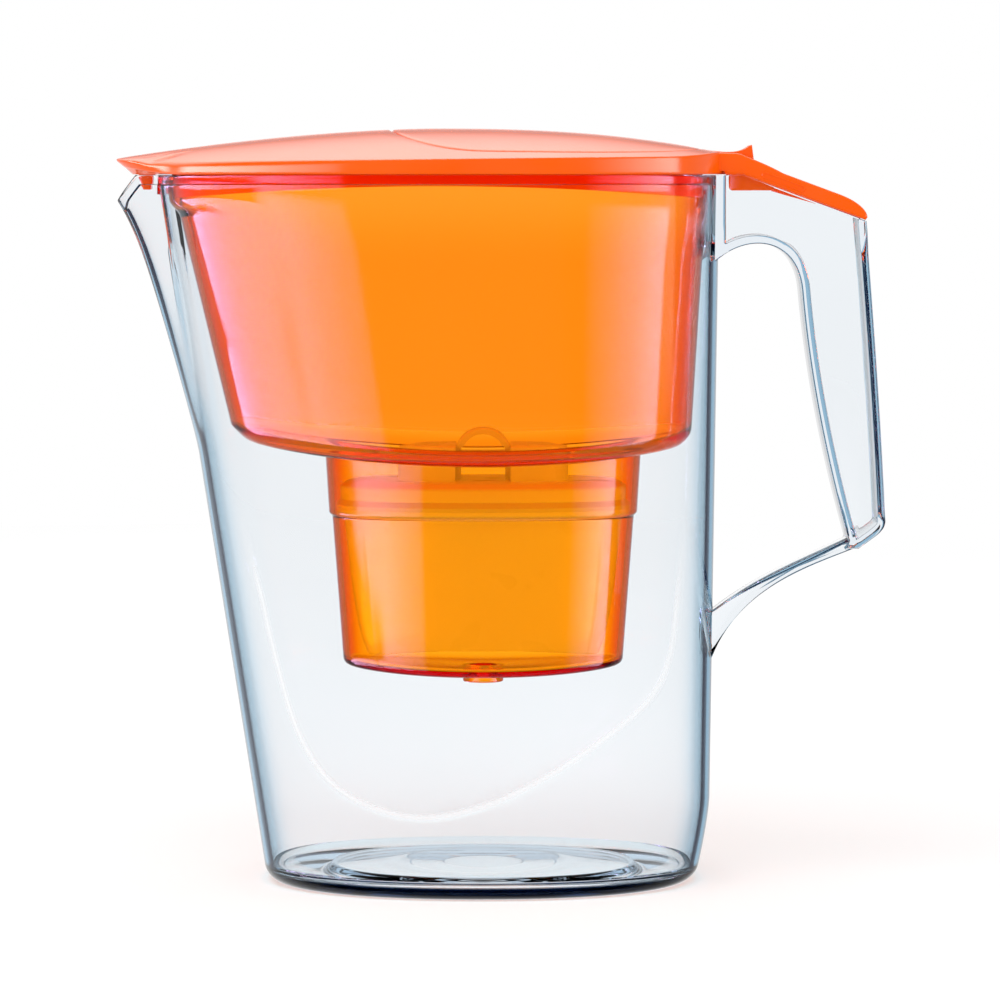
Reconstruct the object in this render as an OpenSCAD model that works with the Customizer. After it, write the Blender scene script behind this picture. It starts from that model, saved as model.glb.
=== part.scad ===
// Water filter pitcher with a flip lid.
// The origin is the centre of the jug's foot, the spout points along -X, the
// handle along +X, and every oval is symmetric about the plane Y = 0.

/* [Jug] */
// Height of the jug's rim above the table
rim_h = 234; // [215:1:260]
// Length of the jug's foot in front of the origin
foot_front = 72.1; // [64:0.1:78]
// Length of the jug's foot behind the origin
foot_back = 75.2; // [68:0.1:80]
// Width of the jug at its foot
foot_w = 103; // [95:0.5:108]
// How far the front leans out per millimetre of height
front_lean = 0.155; // [0.13:0.005:0.17]
// How far the back leans out per millimetre of height
back_lean = 0.0125; // [0.005:0.0005:0.02]
// How far each side leans out per millimetre of height
side_lean = 0.015; // [0.01:0.0005:0.02]
// Squareness of the jug's oval, where 2 is an ellipse
oval_power = 2.2; // [2:0.05:2.4]
// Thickness of the jug's wall
jug_wall = 2.7; // [2:0.1:3.2]
// Radius of the jug's lower edge
foot_round = 5; // [4:0.5:8]
// How far the back tucks in at the foot
tuck_in = 4.4; // [2:0.1:6]
// Height over which the back tucks in
tuck_h = 27.5; // [18:0.5:34]
// Length of the hollow under the foot
hollow_l = 100; // [80:1:108]
// Width of the hollow under the foot
hollow_w = 74; // [58:1:78]
// Depth of the hollow under the foot
hollow_depth = 3; // [1:0.1:5]
// Depth of the ledge inside the rim that carries the funnel
ledge_depth = 3; // [2:0.1:4]

/* [Spout] */
// Height at which the spout leaves the body
spout_start_h = 143; // [120:1:160]
// Reach of the spout's tip beyond the body
spout_reach = 14; // [10:0.5:17]
// Part of the reach that curls out near the tip
spout_curl = 3.5; // [1:0.1:5]
// Width of the spout where it leaves the body
spout_w = 26; // [22:1:32]
// Drop of the pouring lip below the rim
lip_drop = 8.2; // [5:0.1:10]

/* [Handle] */
// Width of the grip
grip_w = 25; // [20:0.5:28]
// Wall thickness of the hollow grip
grip_wall = 2.6; // [2:0.1:3.2]
// Width of the lower strut
strut_w = 14; // [10:0.5:18]
// Reach of the grip's back at its top, from the origin
grip_top_x = 125.9; // [122:0.1:130]
// Reach of the grip's heel, from the origin
grip_heel_x = 132.9; // [128:0.1:138]
// Height of the grip's heel
grip_heel_h = 120; // [112:1:126]
// Distance of the arch over the fingers below the rim
arch_drop = 21.5; // [18:0.5:28]
// Thickness of the hollow grip at its top
grip_t = 21; // [19:0.5:24]

/* [Lid] */
// Overhang of the lid's band past the jug's rim
lid_over = 1.2; // [0.6:0.1:2]
// Height of the lid's crown above the rim
crown_h = 15.3; // [12:0.1:20]
// Height of the lid's band at its middle
band_h = 5.3; // [4:0.1:7]
// Thickness of the lid
lid_t = 2; // [1.6:0.1:2.6]
// Depth of the skirt that plugs into the funnel
skirt_h = 3.6; // [2.5:0.1:6]
// Width of the nose over the spout
nose_w = 46; // [38:1:54]
// Width of the cover over the grip
cover_w = 27.4; // [26:0.2:31]
// Depth of the cover over the grip
cover_side = 5.5; // [4.5:0.1:7]
// Depth of the pocket for the thumb lever below the rim
pocket_drop = 5.2; // [4.6:0.1:7]

/* [Flip lid] */
// Length of the filling flap in front of its widest place
flap_front = 33; // [24:1:45]
// Length of the filling flap behind its widest place
flap_back = 69; // [66:1:70]
// Width of the filling flap
flap_w = 96; // [76:1:98]
// Clear seam around the flap
seam = 0.5; // [0.3:0.05:0.9]
// Width of the thumb lever
lever_w = 13; // [10:0.5:16]
// Radius of the lever's pivot stubs
stub_r = 1.6; // [1.3:0.1:1.7]
// Radial play of the pivot stubs in their holes
stub_play = 0.06; // [0.03:0.01:0.1]

/* [Funnel] */
// Length of the funnel in front of the origin where its walls start
funnel_front = 100.3; // [96:0.1:101]
// Length of the funnel behind the origin where its walls start
funnel_back = 73.4; // [70:0.1:74]
// Lean of the funnel's front wall
funnel_front_lean = 0.241; // [0.2:0.001:0.26]
// Lean of the funnel's back wall
funnel_back_lean = 0.06; // [0.04:0.001:0.08]
// Lean of the funnel's side walls
funnel_side_lean = 0.06; // [0.04:0.001:0.08]
// Wall thickness of the funnel
funnel_wall = 2; // [1.6:0.1:2.4]
// Height of the lowest point under the funnel's floor
floor_h = 140; // [130:1:150]
// Radius of the funnel floor's sag along the jug
floor_sag_r = 460; // [380:10:900]

/* [Cup] */
// Length of the filter cup under the funnel's floor
cup_l = 104.4; // [96:0.2:108]
// How much narrower than long the cup is
cup_narrower = 42; // [38:0.5:46]
// Draft of the cup's walls per millimetre
cup_draft = 0.07; // [0.04:0.005:0.1]
// Height of the cup's step
cup_step_h = 122; // [116:1:126]
// Depth of the cup's step
cup_step = 1; // [0.8:0.1:1.4]
// Height of the lowest point under the cup
cup_bottom_h = 69.5; // [64:0.5:74]
// Length of the outlet nozzle
nozzle_l = 3.5; // [2:0.1:6]
// Outer radius of the outlet nozzle
nozzle_r = 6.7; // [5:0.1:8]
// Radius of the outlet's bore
nozzle_bore_r = 4.6; // [3:0.1:5.4]

/* [Cartridge] */
// Height of the cartridge's lower end
cartridge_bottom_h = 77; // [75:0.5:82]
// Wall thickness of the cartridge
cartridge_wall = 1.6; // [1.2:0.1:2]
// Length of the cartridge's lower end
cartridge_foot_l = 73; // [64:0.5:78]
// Length of the cartridge under its flange
cartridge_body_l = 88; // [84:0.5:91]
// Height of the two humps above the cartridge's cover
hump_h = 11.7; // [8:0.1:14]
// Length over the two humps
humps_l = 56; // [48:0.5:62]
// Outer radius of the pull loop
loop_r = 9.5; // [8.5:0.1:10.5]
// Thickness of the pull loop
loop_t = 2.2; // [1.6:0.1:2.8]
// Thickness of the two filter meshes
mesh_t = 0.8; // [0.5:0.1:1.2]

/* [Fits] */
// Gap between parts that rest on or face each other
rest_gap = 0.2; // [0.1:0.05:0.4]
// Clearance between parts that lift out of each other
lift_gap = 0.8; // [0.5:0.05:1.2]

/* [Hidden] */

// Fineness of the ovals, and how strongly their points gather at the spout
jug_points = 72;
cup_points = 56;
gather = 0.5;
// Overlap of solids that are joined, and overrun of cuts past a face
sink = 0.6;
overrun = 1;
$fn = 48;

// ---------- Curves ----------

function signed_power(v, p) = sign(v) * pow(abs(v), p);

// Ramp from 0 at a to 1 at b, flat outside
function ramp(v, a, b) = min(1, max(0, (v - a) / (b - a)));

// Smooth bell: 1 at v = 0 and 0 from |v| = half on
function bell(v, half) = abs(v) >= half ? 0 : (1 + cos(180 * v / half)) / 2;

// Angles round an oval, gathered at its front end (180 degrees)
function jug_angles() = [for (i = [0:jug_points - 1])
    let (u = 360 * i / jug_points) u + gather * sin(u) * 180 / PI];

function even_angles(count) = [for (i = [0:count - 1]) 360 * i / count];

// Point at angle t on an oval with centre cx, half length a and half width b
function oval_pt(t, cx, a, b, power) =
    [cx + a * signed_power(cos(t), 2 / power), b * signed_power(sin(t), 2 / power)];

function cubic(p, t) = p[0] * pow(1 - t, 3) + p[1] * 3 * t * pow(1 - t, 2)
    + p[2] * 3 * t * t * (1 - t) + p[3] * pow(t, 3);

// Points on a cubic curve with control points p
function curve(p, steps) = [for (i = [0:steps]) cubic(p, i / steps)];

function lift(ring, z) = [for (p = ring) [p[0], p[1], z]];

function reversed(list) = [for (i = [len(list) - 1:-1:0]) list[i]];

// ---------- Skins ----------

// Two triangles for the quad between ring i and ring k, at place j of n
function quad(i, k, j, n) =
    let (a = i * n + j, b = i * n + (j + 1) % n, c = k * n + (j + 1) % n, d = k * n + j)
    [[a, c, b], [a, d, c]];

// Solid inside rings that run outward, up and back in, closed over by two centre points
module capped_skin(rings, first, last) {
    m = len(rings);
    n = len(rings[0]);
    points = concat([for (r = rings) each r], [first, last]);
    sides = [for (i = [0:m - 2], j = [0:n - 1]) each quad(i, i + 1, j, n)];
    caps = [for (j = [0:n - 1]) each [[m * n, j, (j + 1) % n],
        [m * n + 1, (m - 1) * n + (j + 1) % n, (m - 1) * n + j]]];
    polyhedron(points, concat(sides, caps));
}

// The same for rings whose last one joins the first again, with a hole through the middle
module looped_skin(rings) {
    m = len(rings);
    n = len(rings[0]);
    polyhedron([for (r = rings) each r],
        [for (i = [0:m - 1], j = [0:n - 1]) each quad(i, (i + 1) % m, j, n)]);
}

// Flat profile in the X-Z plane, drawn with its height as Y, made w wide about Y = 0
module slab(w) {
    rotate([90, 0, 0])
        translate([0, 0, -w / 2])
            linear_extrude(w)
                children();
}

// Joins its children into one mesh
module one_mesh() {
    resize([0, 0, 0])
        union() children();
}

// ---------- Jug ----------

function tuck_at(z) = tuck_in * pow(max(0, (tuck_h - z) / tuck_h), 1.4);
function jug_front(z) = -(foot_front + front_lean * z);
function jug_back(z) = foot_back + back_lean * z - tuck_at(z);
function jug_half_w(z) = foot_w / 2 + side_lean * z;
function jug_centre(z) = (jug_front(z) + jug_back(z)) / 2;
function jug_half_l(z) = (jug_back(z) - jug_front(z)) / 2;

// Oval of the jug at height z, moved in by inset, without the spout
function jug_oval_pt(t, z, inset) =
    oval_pt(t, jug_centre(z), jug_half_l(z) - inset, jug_half_w(z) - inset, oval_power);

// How far the spout stands out at height z
lip_h = rim_h - lip_drop;
function spout_out(z) =
    let (s = ramp(z, spout_start_h, lip_h))
    (spout_reach - spout_curl) * pow(s, 1.15) + spout_curl * pow(s, 8);

// Cross-section of the spout: 1 at its tip, down to 0 at the creases where it leaves the oval
function spout_bell(p, inset) =
    p[0] > 0 ? 0 : 1 - pow(min(1, abs(p[1]) / (spout_w / 2 - inset / 2)), 1.6);

// Height of the pouring edge at angle t: the rim, cut down along a slant at the spout
lip_slant = 1.15;
function edge_h(t) =
    let (p = jug_oval_pt(t, lip_h, 0),
        out = spout_out(lip_h) * spout_bell(p, 0) - (spout_reach - lip_drop / lip_slant))
    rim_h - min(lip_drop, max(0, out * lip_slant));

// Point of the jug's wall at angle t, a share s up the wall
function jug_wall_pt(t, z, inset) =
    let (p = jug_oval_pt(t, z, inset))
    [p[0] - spout_out(z) * spout_bell(p, inset), p[1], z];

function jug_ring(z, inset) = [for (t = jug_angles()) jug_wall_pt(t, z, inset)];

// Ring that follows the pouring edge, drop below it
function edge_ring(inset, drop) = [for (t = jug_angles()) jug_wall_pt(t, edge_h(t) - drop, inset)];

// Heights of the rings above the foot's rounding, closer where the wall curves
wall_heights = [
    for (k = [1:3]) foot_round + (tuck_h - foot_round) * k / 3,
    (tuck_h + spout_start_h) / 2,
    for (k = [0:5]) spout_start_h + (lip_h - spout_start_h) * (1 - pow(1 - k / 6.5, 1.4))
];

floor_t = jug_wall;
inner_round = foot_round - jug_wall / 2;
function hollow_outline(grow) = [for (t = jug_angles())
    oval_pt(t, 0, hollow_l / 2 + grow, hollow_w / 2 + grow, oval_power)];
function hollow_ring(grow, z) = lift(hollow_outline(grow), z);

module jug_outside() {
    foot_rings = [for (k = [0:4]) let (a = 90 * k / 4)
        jug_ring(foot_round * (1 - cos(a)), foot_round * (1 - sin(a)))];
    outer = [for (z = wall_heights) jug_ring(z, 0)];
    capped_skin(concat(foot_rings, outer, [edge_ring(0, lip_drop / 2), edge_ring(0, 0)]),
        [0, 0, 0], [0, 0, rim_h]);
}

module jug_inside() {
    bottom = [for (k = [0:3]) let (a = 90 * k / 3)
        jug_ring(floor_t + inner_round * (1 - cos(a)), jug_wall + inner_round * (1 - sin(a)))];
    raised = [hollow_ring(0, floor_t + hollow_depth), hollow_ring(jug_wall, floor_t)];
    inner = [for (z = wall_heights) jug_ring(z, jug_wall)];
    rim = [edge_ring(jug_wall, ledge_depth), edge_ring(jug_wall / 2, ledge_depth),
        edge_ring(jug_wall / 2, -overrun)];
    capped_skin(concat(raised, bottom, inner, rim),
        [0, 0, floor_t + hollow_depth], [0, 0, rim_h + overrun]);
}

// Hollow under the foot, so that the jug stands on a ring
module foot_hollow() {
    translate([0, 0, -overrun])
        linear_extrude(overrun + hollow_depth)
            polygon(hollow_outline(0));
}

// ---------- Handle ----------

// The grip's top is level near the jug, then slopes down under its cover
slope = 0.37;
slope_start_x = jug_back(rim_h) + 7;
function grip_top_h(x) = rim_h - max(0, x - slope_start_x) * slope;

// The handle's roots end well inside the jug's wall, and its hollow trims them
function root_x(z) = jug_back(z) - 2 * jug_wall;

arch_h = rim_h - arch_drop;
arch_x = grip_top_x - grip_t;
strut_h = grip_heel_h - 17;
strut_root_top = strut_h - 14.5;
strut_root_low = strut_h - 28.5;
finger_corner = [grip_heel_x - 12.2, grip_heel_h - 6.2];
strut_end = [grip_heel_x - 9, grip_heel_h - 9];

// Back of the grip, its heel, both edges of the strut, and the gap for the fingers
back_curve = curve([[grip_top_x, grip_top_h(grip_top_x)], [grip_top_x + 2.8, rim_h - 48],
    [grip_heel_x - 1.6, grip_heel_h + 33], [grip_heel_x, grip_heel_h]], 10);
heel_curve = curve([[grip_heel_x, grip_heel_h], [grip_heel_x - 0.3, grip_heel_h - 3.5],
    [grip_heel_x - 3.5, grip_heel_h - 4.6], strut_end], 4);
strut_low_curve = curve([strut_end, [grip_heel_x - 25.9, strut_h + 1.2],
    [jug_back(strut_h) + 8.5, strut_h - 5.6], [jug_back(strut_root_low) - 0.1, strut_root_low]], 10);
strut_top_curve = curve([[root_x(strut_root_top), strut_root_top - 3],
    [jug_back(strut_h) + 13, strut_h - 2.4], [grip_heel_x - 32.9, strut_h + 0.9],
    finger_corner], 8);
finger_curve = curve([finger_corner, [arch_x + 5, grip_heel_h + 32],
    [arch_x + 1.4, arch_h - 32], [arch_x, arch_h - 16.5]], 10);
arch_curve = curve([[arch_x, arch_h - 16.5], [arch_x - 2, arch_h + 5],
    [jug_back(arch_h) + 2.2, arch_h + 2], [root_x(arch_h), arch_h - 12]], 10);

grip_top_line = [[root_x(rim_h), rim_h], [slope_start_x, rim_h]];

module grip_profile() {
    polygon(concat(grip_top_line, back_curve, heel_curve, [finger_corner - [0.6, 2.6]],
        finger_curve, arch_curve));
}

module strut_profile() {
    polygon(concat([strut_end + [1.5, 1.2]], strut_low_curve,
        [[root_x(strut_root_low), strut_root_low - 8]], strut_top_curve, [finger_corner + [2, 4]]));
}

edge_break = 1.6;

module grip_solid() {
    slab(grip_w - 2 * edge_break)
        grip_profile();
    slab(grip_w)
        offset(delta = -edge_break) grip_profile();
}

// Core of the grip, open at the top under its cover
core_x = jug_back(rim_h) + 1.4;
module grip_core() {
    slab(grip_w - 2 * grip_wall)
        difference() {
            union() {
                offset(delta = -grip_wall) grip_profile();
                polygon([[core_x, rim_h + overrun], [core_x, arch_h + 2 * grip_wall],
                    [grip_top_x - grip_wall, arch_h + 2 * grip_wall],
                    [grip_top_x - grip_wall, rim_h + overrun]]);
            }
            square([core_x, 2 * rim_h]);
        }
}

module handle() {
    difference() {
        grip_solid();
        grip_core();
    }
    slab(strut_w)
        strut_profile();
}

module jug() {
    color("lightsteelblue", 0.5)
        difference() {
            one_mesh()
                difference() {
                    union() {
                        jug_outside();
                        handle();
                    }
                    jug_inside();
                }
            foot_hollow();
        }
}

// ---------- Lid ----------

lid_base = rim_h + rest_gap;
lid_cx = jug_centre(rim_h);
lid_a = jug_half_l(rim_h) + lid_over;
lid_b = jug_half_w(rim_h) + lid_over;
nose_out = spout_reach - 2;

// Ridge line of the crown, along Y = 0
ridge_drop = 8.1;
function ridge_h(x) =
    let (r = abs(x - lid_cx) / lid_a)
    rim_h + crown_h - ridge_drop * pow(r, x < lid_cx ? 1.7 : 2.5);

// Top of the lid's band, which rises towards the handle
function band_top_h(x) = rim_h + band_h + 0.0125 * (x - lid_cx) - 0.4
    + 1.4 * pow(max(0, (x - 60) / 18), 1.5);

// Top surface of the crown at a point in plan
function crown_top(p) =
    let (rx = abs(p[0] - lid_cx) / lid_a,
        ry = abs(p[1]) / lid_b,
        r2 = pow(pow(rx, oval_power) + pow(ry, oval_power), 2 / oval_power),
        fall = min(1, max(0, (r2 - rx * rx) / max(0.08, 1 - rx * rx))))
    ridge_h(p[0]) + (band_top_h(p[0]) - ridge_h(p[0])) * fall;

// Outline of the lid, moved in by inset, with its nose
function lid_pt(t, inset) =
    let (p = oval_pt(t, lid_cx, lid_a - inset, lid_b - inset, oval_power))
    [p[0] - (p[0] > 0 ? 0 : nose_out * bell(p[1], nose_w / 2 - inset / 2)), p[1]];

// Outline of the flap, moved out by grow: two half ovals that meet at its widest place
pivot_x = jug_back(rim_h) + 0.4;
flap_back_x = pivot_x - 6.5;
flap_cx = flap_back_x - flap_back;
function flap_pt(t, grow) =
    oval_pt(t, flap_cx, (cos(t) > 0 ? flap_back : flap_front) + grow, flap_w / 2 + grow, oval_power);

function mix(p, q, s) = p * (1 - s) + q * s;

// Ring on the crown, a share s of the way from the flap's seam to the lid's edge
function crown_ring(s, inset, down) = [for (t = jug_angles())
    let (p = mix(flap_pt(t, seam), lid_pt(t, inset), s)) [p[0], p[1], crown_top(p) - down]];

// How near a point of the crown is to the flap's seam: 1 at the seam, 0 well in front of it
function flap_near(p) =
    let (l = p[0] > flap_cx ? flap_back : flap_front,
        u = pow(abs(p[0] - flap_cx) / l, oval_power) + pow(abs(p[1]) / (flap_w / 2), oval_power),
        r = pow(u, 1 / oval_power))
    1 - ramp(r, 1.1, 1.3);

// Ring under the crown, a share s of the way from the skirt to the edge of the flap's ledge
function under_ring(s) = [for (t = jug_angles())
    let (q = jug_oval_pt(t, rim_h, skirt_inset + skirt_t), p = mix(q, flap_pt(t, -flap_ledge), s))
    [p[0], p[1], crown_top(p) - lid_t - (rest_gap + ledge_t) * flap_near(p)]];

function flap_ring(grow, down) = [for (t = jug_angles())
    let (p = flap_pt(t, grow)) [p[0], p[1], crown_top(p) - down]];

// The ledge that carries the flap
flap_ledge = 2.6;
ledge_t = 1.6;
flap_seat_t = lid_t + rest_gap;

// The skirt follows the funnel's collar on its inner side, deeper at both ends
skirt_t = 1.6;
collar_out = jug_wall + lift_gap;
collar_in = collar_out + 1.6;
skirt_inset = collar_in + 0.3;
skirt_arch = 4.1;
function skirt_low_h(t) =
    let (r = (jug_oval_pt(t, rim_h, 0)[0] - lid_cx) / lid_a) rim_h - skirt_h - skirt_arch * r * r;
function skirt_ring(inset, low) = [for (t = jug_angles())
    let (z = low ? skirt_low_h(t) : lid_base, p = jug_oval_pt(t, z, inset)) [p[0], p[1], z]];

// Lower edge of the band, which rises and draws back under the nose
nose_rise = 2.1;
nose_back = 3.4;
function band_low_ring(inset, up, rise) = [for (t = jug_angles())
    let (p = lid_pt(t, inset), s = p[0] > 0 ? 0 : bell(p[1], nose_w / 2))
    [p[0] + nose_back * s, p[1], lid_base + up + rise * s]];

module lid_shell() {
    looped_skin(reversed(concat(
        [flap_ring(seam, 0)],
        [for (s = [0.25, 0.5, 0.75, 0.93]) crown_ring(s, 0, 0)],
        [crown_ring(1, 0, 0.5)],
        [band_low_ring(-0.2, 0.4, nose_rise), band_low_ring(0, 0, nose_rise),
            band_low_ring(lid_over + jug_wall / 2, 0, 0)],
        [skirt_ring(skirt_inset, false), skirt_ring(skirt_inset, true),
            skirt_ring(skirt_inset + skirt_t, true)],
        [for (s = [0, 0.3, 0.6, 0.8, 1]) under_ring(s)],
        [flap_ring(-flap_ledge, flap_seat_t), flap_ring(seam, flap_seat_t)])));
}

// Pivot of the flap, just behind it under the crown, between two ears of the lid
pivot_h = rim_h + 4.4;
lever_slot_w = lever_w + 2 * seam;
stub_l = 2.6;
ear_w = 4;
ear_r = stub_r + 1.4;

// Pocket that the thumb lever dips into
pocket_wall = 1.4;
pocket_x = pivot_x + 2.2;
pocket_end_x = pivot_x + 17.2;
pocket_h = rim_h - pocket_drop;
lever_slot_end = pivot_x + 13;

// Top line of the cover over the grip: a hump behind the lever, the slope, a rounded end
function cover_h(x) = grip_top_h(x) + cover_side;
cover_top = concat(
    [[pivot_x - 4, rim_h + 7.4], [pivot_x + 4.6, rim_h + 7.1]],
    curve([[pivot_x + 6, rim_h + 6.9], [pivot_x + 9, rim_h + 5.4],
        [pivot_x + 13, cover_h(pivot_x + 13) + 1.2], [pivot_x + 20, cover_h(pivot_x + 20)]], 5),
    curve([[grip_top_x - 9, cover_h(grip_top_x - 9)], [grip_top_x - 3, cover_h(grip_top_x - 3)],
        [grip_top_x + 0.2, cover_h(grip_top_x) - 2], [grip_top_x + 0.2, grip_top_h(grip_top_x) + 1.2]], 5));

module cover_outline() {
    polygon(concat(cover_top,
        [[grip_top_x - 0.4, grip_top_h(grip_top_x) + rest_gap + 0.2], [slope_start_x, lid_base],
            [pivot_x + 1, lid_base], [pivot_x + 0.6, lid_base + 1], [pivot_x - 4, lid_base + 1]]));
}

module grip_cover() {
    difference() {
        union() {
            slab(cover_w - 1.6)
                cover_outline();
            slab(cover_w)
                offset(delta = -0.8) cover_outline();
        }
        slab(cover_w - 2 * lid_t)
            difference() {
                translate([0, -lid_t]) cover_outline();
                square([pocket_end_x - 0.4, 2 * rim_h]);
            }
    }
    slab(lever_slot_w + 2 * pocket_wall)
        polygon([[pocket_x, rim_h + 3], [pocket_x, pocket_h + 1], [pocket_x + 1, pocket_h],
            [pocket_end_x, pocket_h], [pocket_end_x, rim_h - 1], [pocket_x + 4, rim_h + 3]]);
    cover_rib();
}

// Rib under the cover that centres it in the grip
module cover_rib() {
    rib_end_x = grip_top_x - 16;
    slab(1.6)
        polygon([[pocket_end_x - 0.6, rim_h - 5.6], [rib_end_x, rim_h - 9.8],
            [rib_end_x, grip_top_h(rib_end_x) + 2.6],
            [pocket_end_x - 0.6, grip_top_h(pocket_end_x) + 2.6]]);
}

// Way of the lever through the lid and down into its pocket
module lever_slot() {
    slab(lever_slot_w)
        polygon([[flap_back_x - 4, rim_h + 30], [flap_back_x - 4, lid_base - overrun],
            [pocket_x + pocket_wall, lid_base - overrun], [pocket_x + pocket_wall, pocket_h + pocket_wall],
            [pocket_end_x - pocket_wall, pocket_h + pocket_wall], [pocket_end_x - pocket_wall, rim_h - 2],
            [lever_slot_end, rim_h + 0.4], [lever_slot_end, rim_h + 30]]);
}

// Gap in the skirt round the funnel's catch
module latch_notch() {
    low = rim_h - skirt_h - skirt_arch - overrun;
    translate([latch_x - lift_gap, -latch_w / 2 - seam, low])
        cube([latch_l + 2 * lift_gap, latch_w + 2 * seam, lid_base + rest_gap + 0.3 - low]);
}

// Tab under the nose that drops into the spout
module nose_tab() {
    slab(10)
        polygon([[lid_cx - lid_a - 4.6, rim_h + 3], [lid_cx - lid_a - 3.6, rim_h - 1],
            [lid_cx - lid_a - 1.8, rim_h - 4.8], [lid_cx - lid_a + 0.4, rim_h - 4.8],
            [lid_cx - lid_a + 1.4, rim_h + 3]]);
}

module lid() {
    color("orangered")
        difference() {
            union() {
                one_mesh()
                    difference() {
                        union() {
                            lid_shell();
                            nose_tab();
                            grip_cover();
                        }
                        lever_slot();
                        latch_notch();
                    }
                pivot_ears();
            }
            pivot_hole();
        }
}

module pivot_ears() {
    for (side = [-1, 1])
        translate([pivot_x, side * (lever_slot_w / 2 + ear_w / 2), pivot_h])
            rotate([90, 0, 0])
                cylinder(r = ear_r, h = ear_w, center = true);
}

module pivot_hole() {
    translate([pivot_x, 0, pivot_h])
        rotate([90, 0, 0])
            cylinder(r = stub_r + stub_play, h = lever_slot_w + 2 * stub_l + 0.8, center = true);
}

// ---------- Flip lid ----------

module flap_shell() {
    top_steps = [0.25, 0.5, 0.75, 0.92];
    under = [for (s = top_steps) flap_part(s, lid_t)];
    top = [for (i = [len(top_steps) - 1:-1:0]) flap_part(top_steps[i], 0)];
    centre = [flap_cx, 0];
    capped_skin(concat(under, [flap_part(0.985, lid_t), flap_part(1, 1), flap_part(1, 0.4),
        flap_part(0.992, 0)], top),
        [flap_cx, 0, crown_top(centre) - lid_t], [flap_cx, 0, crown_top(centre)]);
}

function flap_part(s, down) = [for (t = jug_angles())
    let (p = mix([flap_cx, 0], flap_pt(t, 0), s)) [p[0], p[1], crown_top(p) - down]];

fin_x = pivot_x + 10;
fin_h = rim_h + 9.9;

// Thumb lever: an arm from the flap past the pivot, and a fin that stands up for the thumb
module lever() {
    arm_x = flap_back_x - 8;
    slab(lever_w)
        polygon([[arm_x, crown_top([arm_x, 0]) - lid_t + 0.2], [pivot_x - 2, pivot_h - 2],
            [pivot_x, pivot_h - 2.4], [pivot_x + 2.2, pivot_h - 1.9], [fin_x - 3, pivot_h - 0.8],
            [fin_x + 0.7, pivot_h + 0.2], [fin_x, fin_h], [fin_x - 0.8, fin_h - 0.3],
            [fin_x - 3, fin_h - 1.9], [fin_x - 6, fin_h - 2.6],
            [flap_back_x + 1, crown_top([flap_back_x + 1, 0]) - 0.15],
            [arm_x, crown_top([arm_x, 0]) - 0.6]]);
}

module pivot_stubs() {
    translate([pivot_x, 0, pivot_h])
        rotate([90, 0, 0])
            cylinder(r = stub_r, h = lever_w + 2 * stub_l, center = true);
}

module flip_lid() {
    color("orangered") {
        flap_shell();
        lever();
        pivot_stubs();
    }
}

// ---------- Funnel ----------

collar_low = rim_h - 12;
function funnel_front_x(z) = -(funnel_front - funnel_front_lean * (collar_low - z));
function funnel_back_x(z) = funnel_back - funnel_back_lean * (collar_low - z);
function funnel_half_w(z) = jug_half_w(collar_low) - jug_wall - 1.7
    - funnel_side_lean * (collar_low - z);
function funnel_cx(z) = (funnel_front_x(z) + funnel_back_x(z)) / 2;
function funnel_a(z) = (funnel_back_x(z) - funnel_front_x(z)) / 2;

// Shoulder under the funnel's collar, which sits lower at both ends, as the lid's skirt does
function shoulder_h(x) = let (r = (x - lid_cx) / lid_a) rim_h - skirt_h - 0.8 - skirt_arch * r * r;
function collar_low_ring(inset, up) = [for (t = jug_angles())
    let (z = shoulder_h(jug_oval_pt(t, rim_h, inset)[0]) + up, p = jug_oval_pt(t, z, inset))
    [p[0], p[1], z]];
function wall_top_ring(inset, up) = [for (t = jug_angles())
    let (z = shoulder_h(jug_oval_pt(t, rim_h, inset)[0]) + up,
        p = oval_pt(t, funnel_cx(z), funnel_a(z) - inset, funnel_half_w(z) - inset, oval_power))
    [p[0], p[1], z]];

// Ring of the funnel's wall
function funnel_ring(z, inset) = [for (t = jug_angles())
    let (p = oval_pt(t, funnel_cx(z), funnel_a(z) - inset, funnel_half_w(z) - inset, oval_power))
    [p[0], p[1], z]];

// Ring that follows the sagging floor, a height above it
function floor_rise(x) = x * x / (2 * floor_sag_r);
function floor_ring(h, inset) = [for (t = jug_angles())
    let (z = floor_h + h + 5,
        p = oval_pt(t, funnel_cx(z), funnel_a(z) - inset, funnel_half_w(z) - inset, oval_power))
    [p[0], p[1], floor_h + h + floor_rise(p[0])]];

function rim_ring(z, inset) = [for (t = jug_angles())
    let (p = jug_oval_pt(t, z, inset)) [p[0], p[1], z]];

// Half length and half width of the cup's outside at height z
function cup_a(z) = cup_l / 2 - cup_draft * (floor_h - z) - (z < cup_step_h ? cup_step : 0);
function cup_b(z) = cup_a(z) - cup_narrower / 2;
cup_power = 2.4;
cup_round = 4.5;
cup_sag_r = 409;
cup_floor_t = 2;

function cup_pt(t, z, inset) = oval_pt(t, 0, cup_a(z) - inset, cup_b(z) - inset, cup_power);
function cup_ring(z, inset) = [for (t = jug_angles())
    let (p = cup_pt(t, z, inset)) [p[0], p[1], z]];
function cup_top_ring(h, inset) = [for (t = jug_angles())
    let (p = cup_pt(t, floor_h, inset)) [p[0], p[1], floor_h + h + floor_rise(p[0])]];
// Ring on the cup's domed bottom, moved in by inset and up by h
function cup_low_ring(h, inset) = [for (t = jug_angles())
    let (p = cup_pt(t, cup_bottom_h + cup_round, inset))
    [p[0], p[1], cup_bottom_h + h + p[0] * p[0] / (2 * cup_sag_r)]];
function circle_ring(r, z) = [for (t = jug_angles()) [r * cos(t), r * sin(t), z]];

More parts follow.
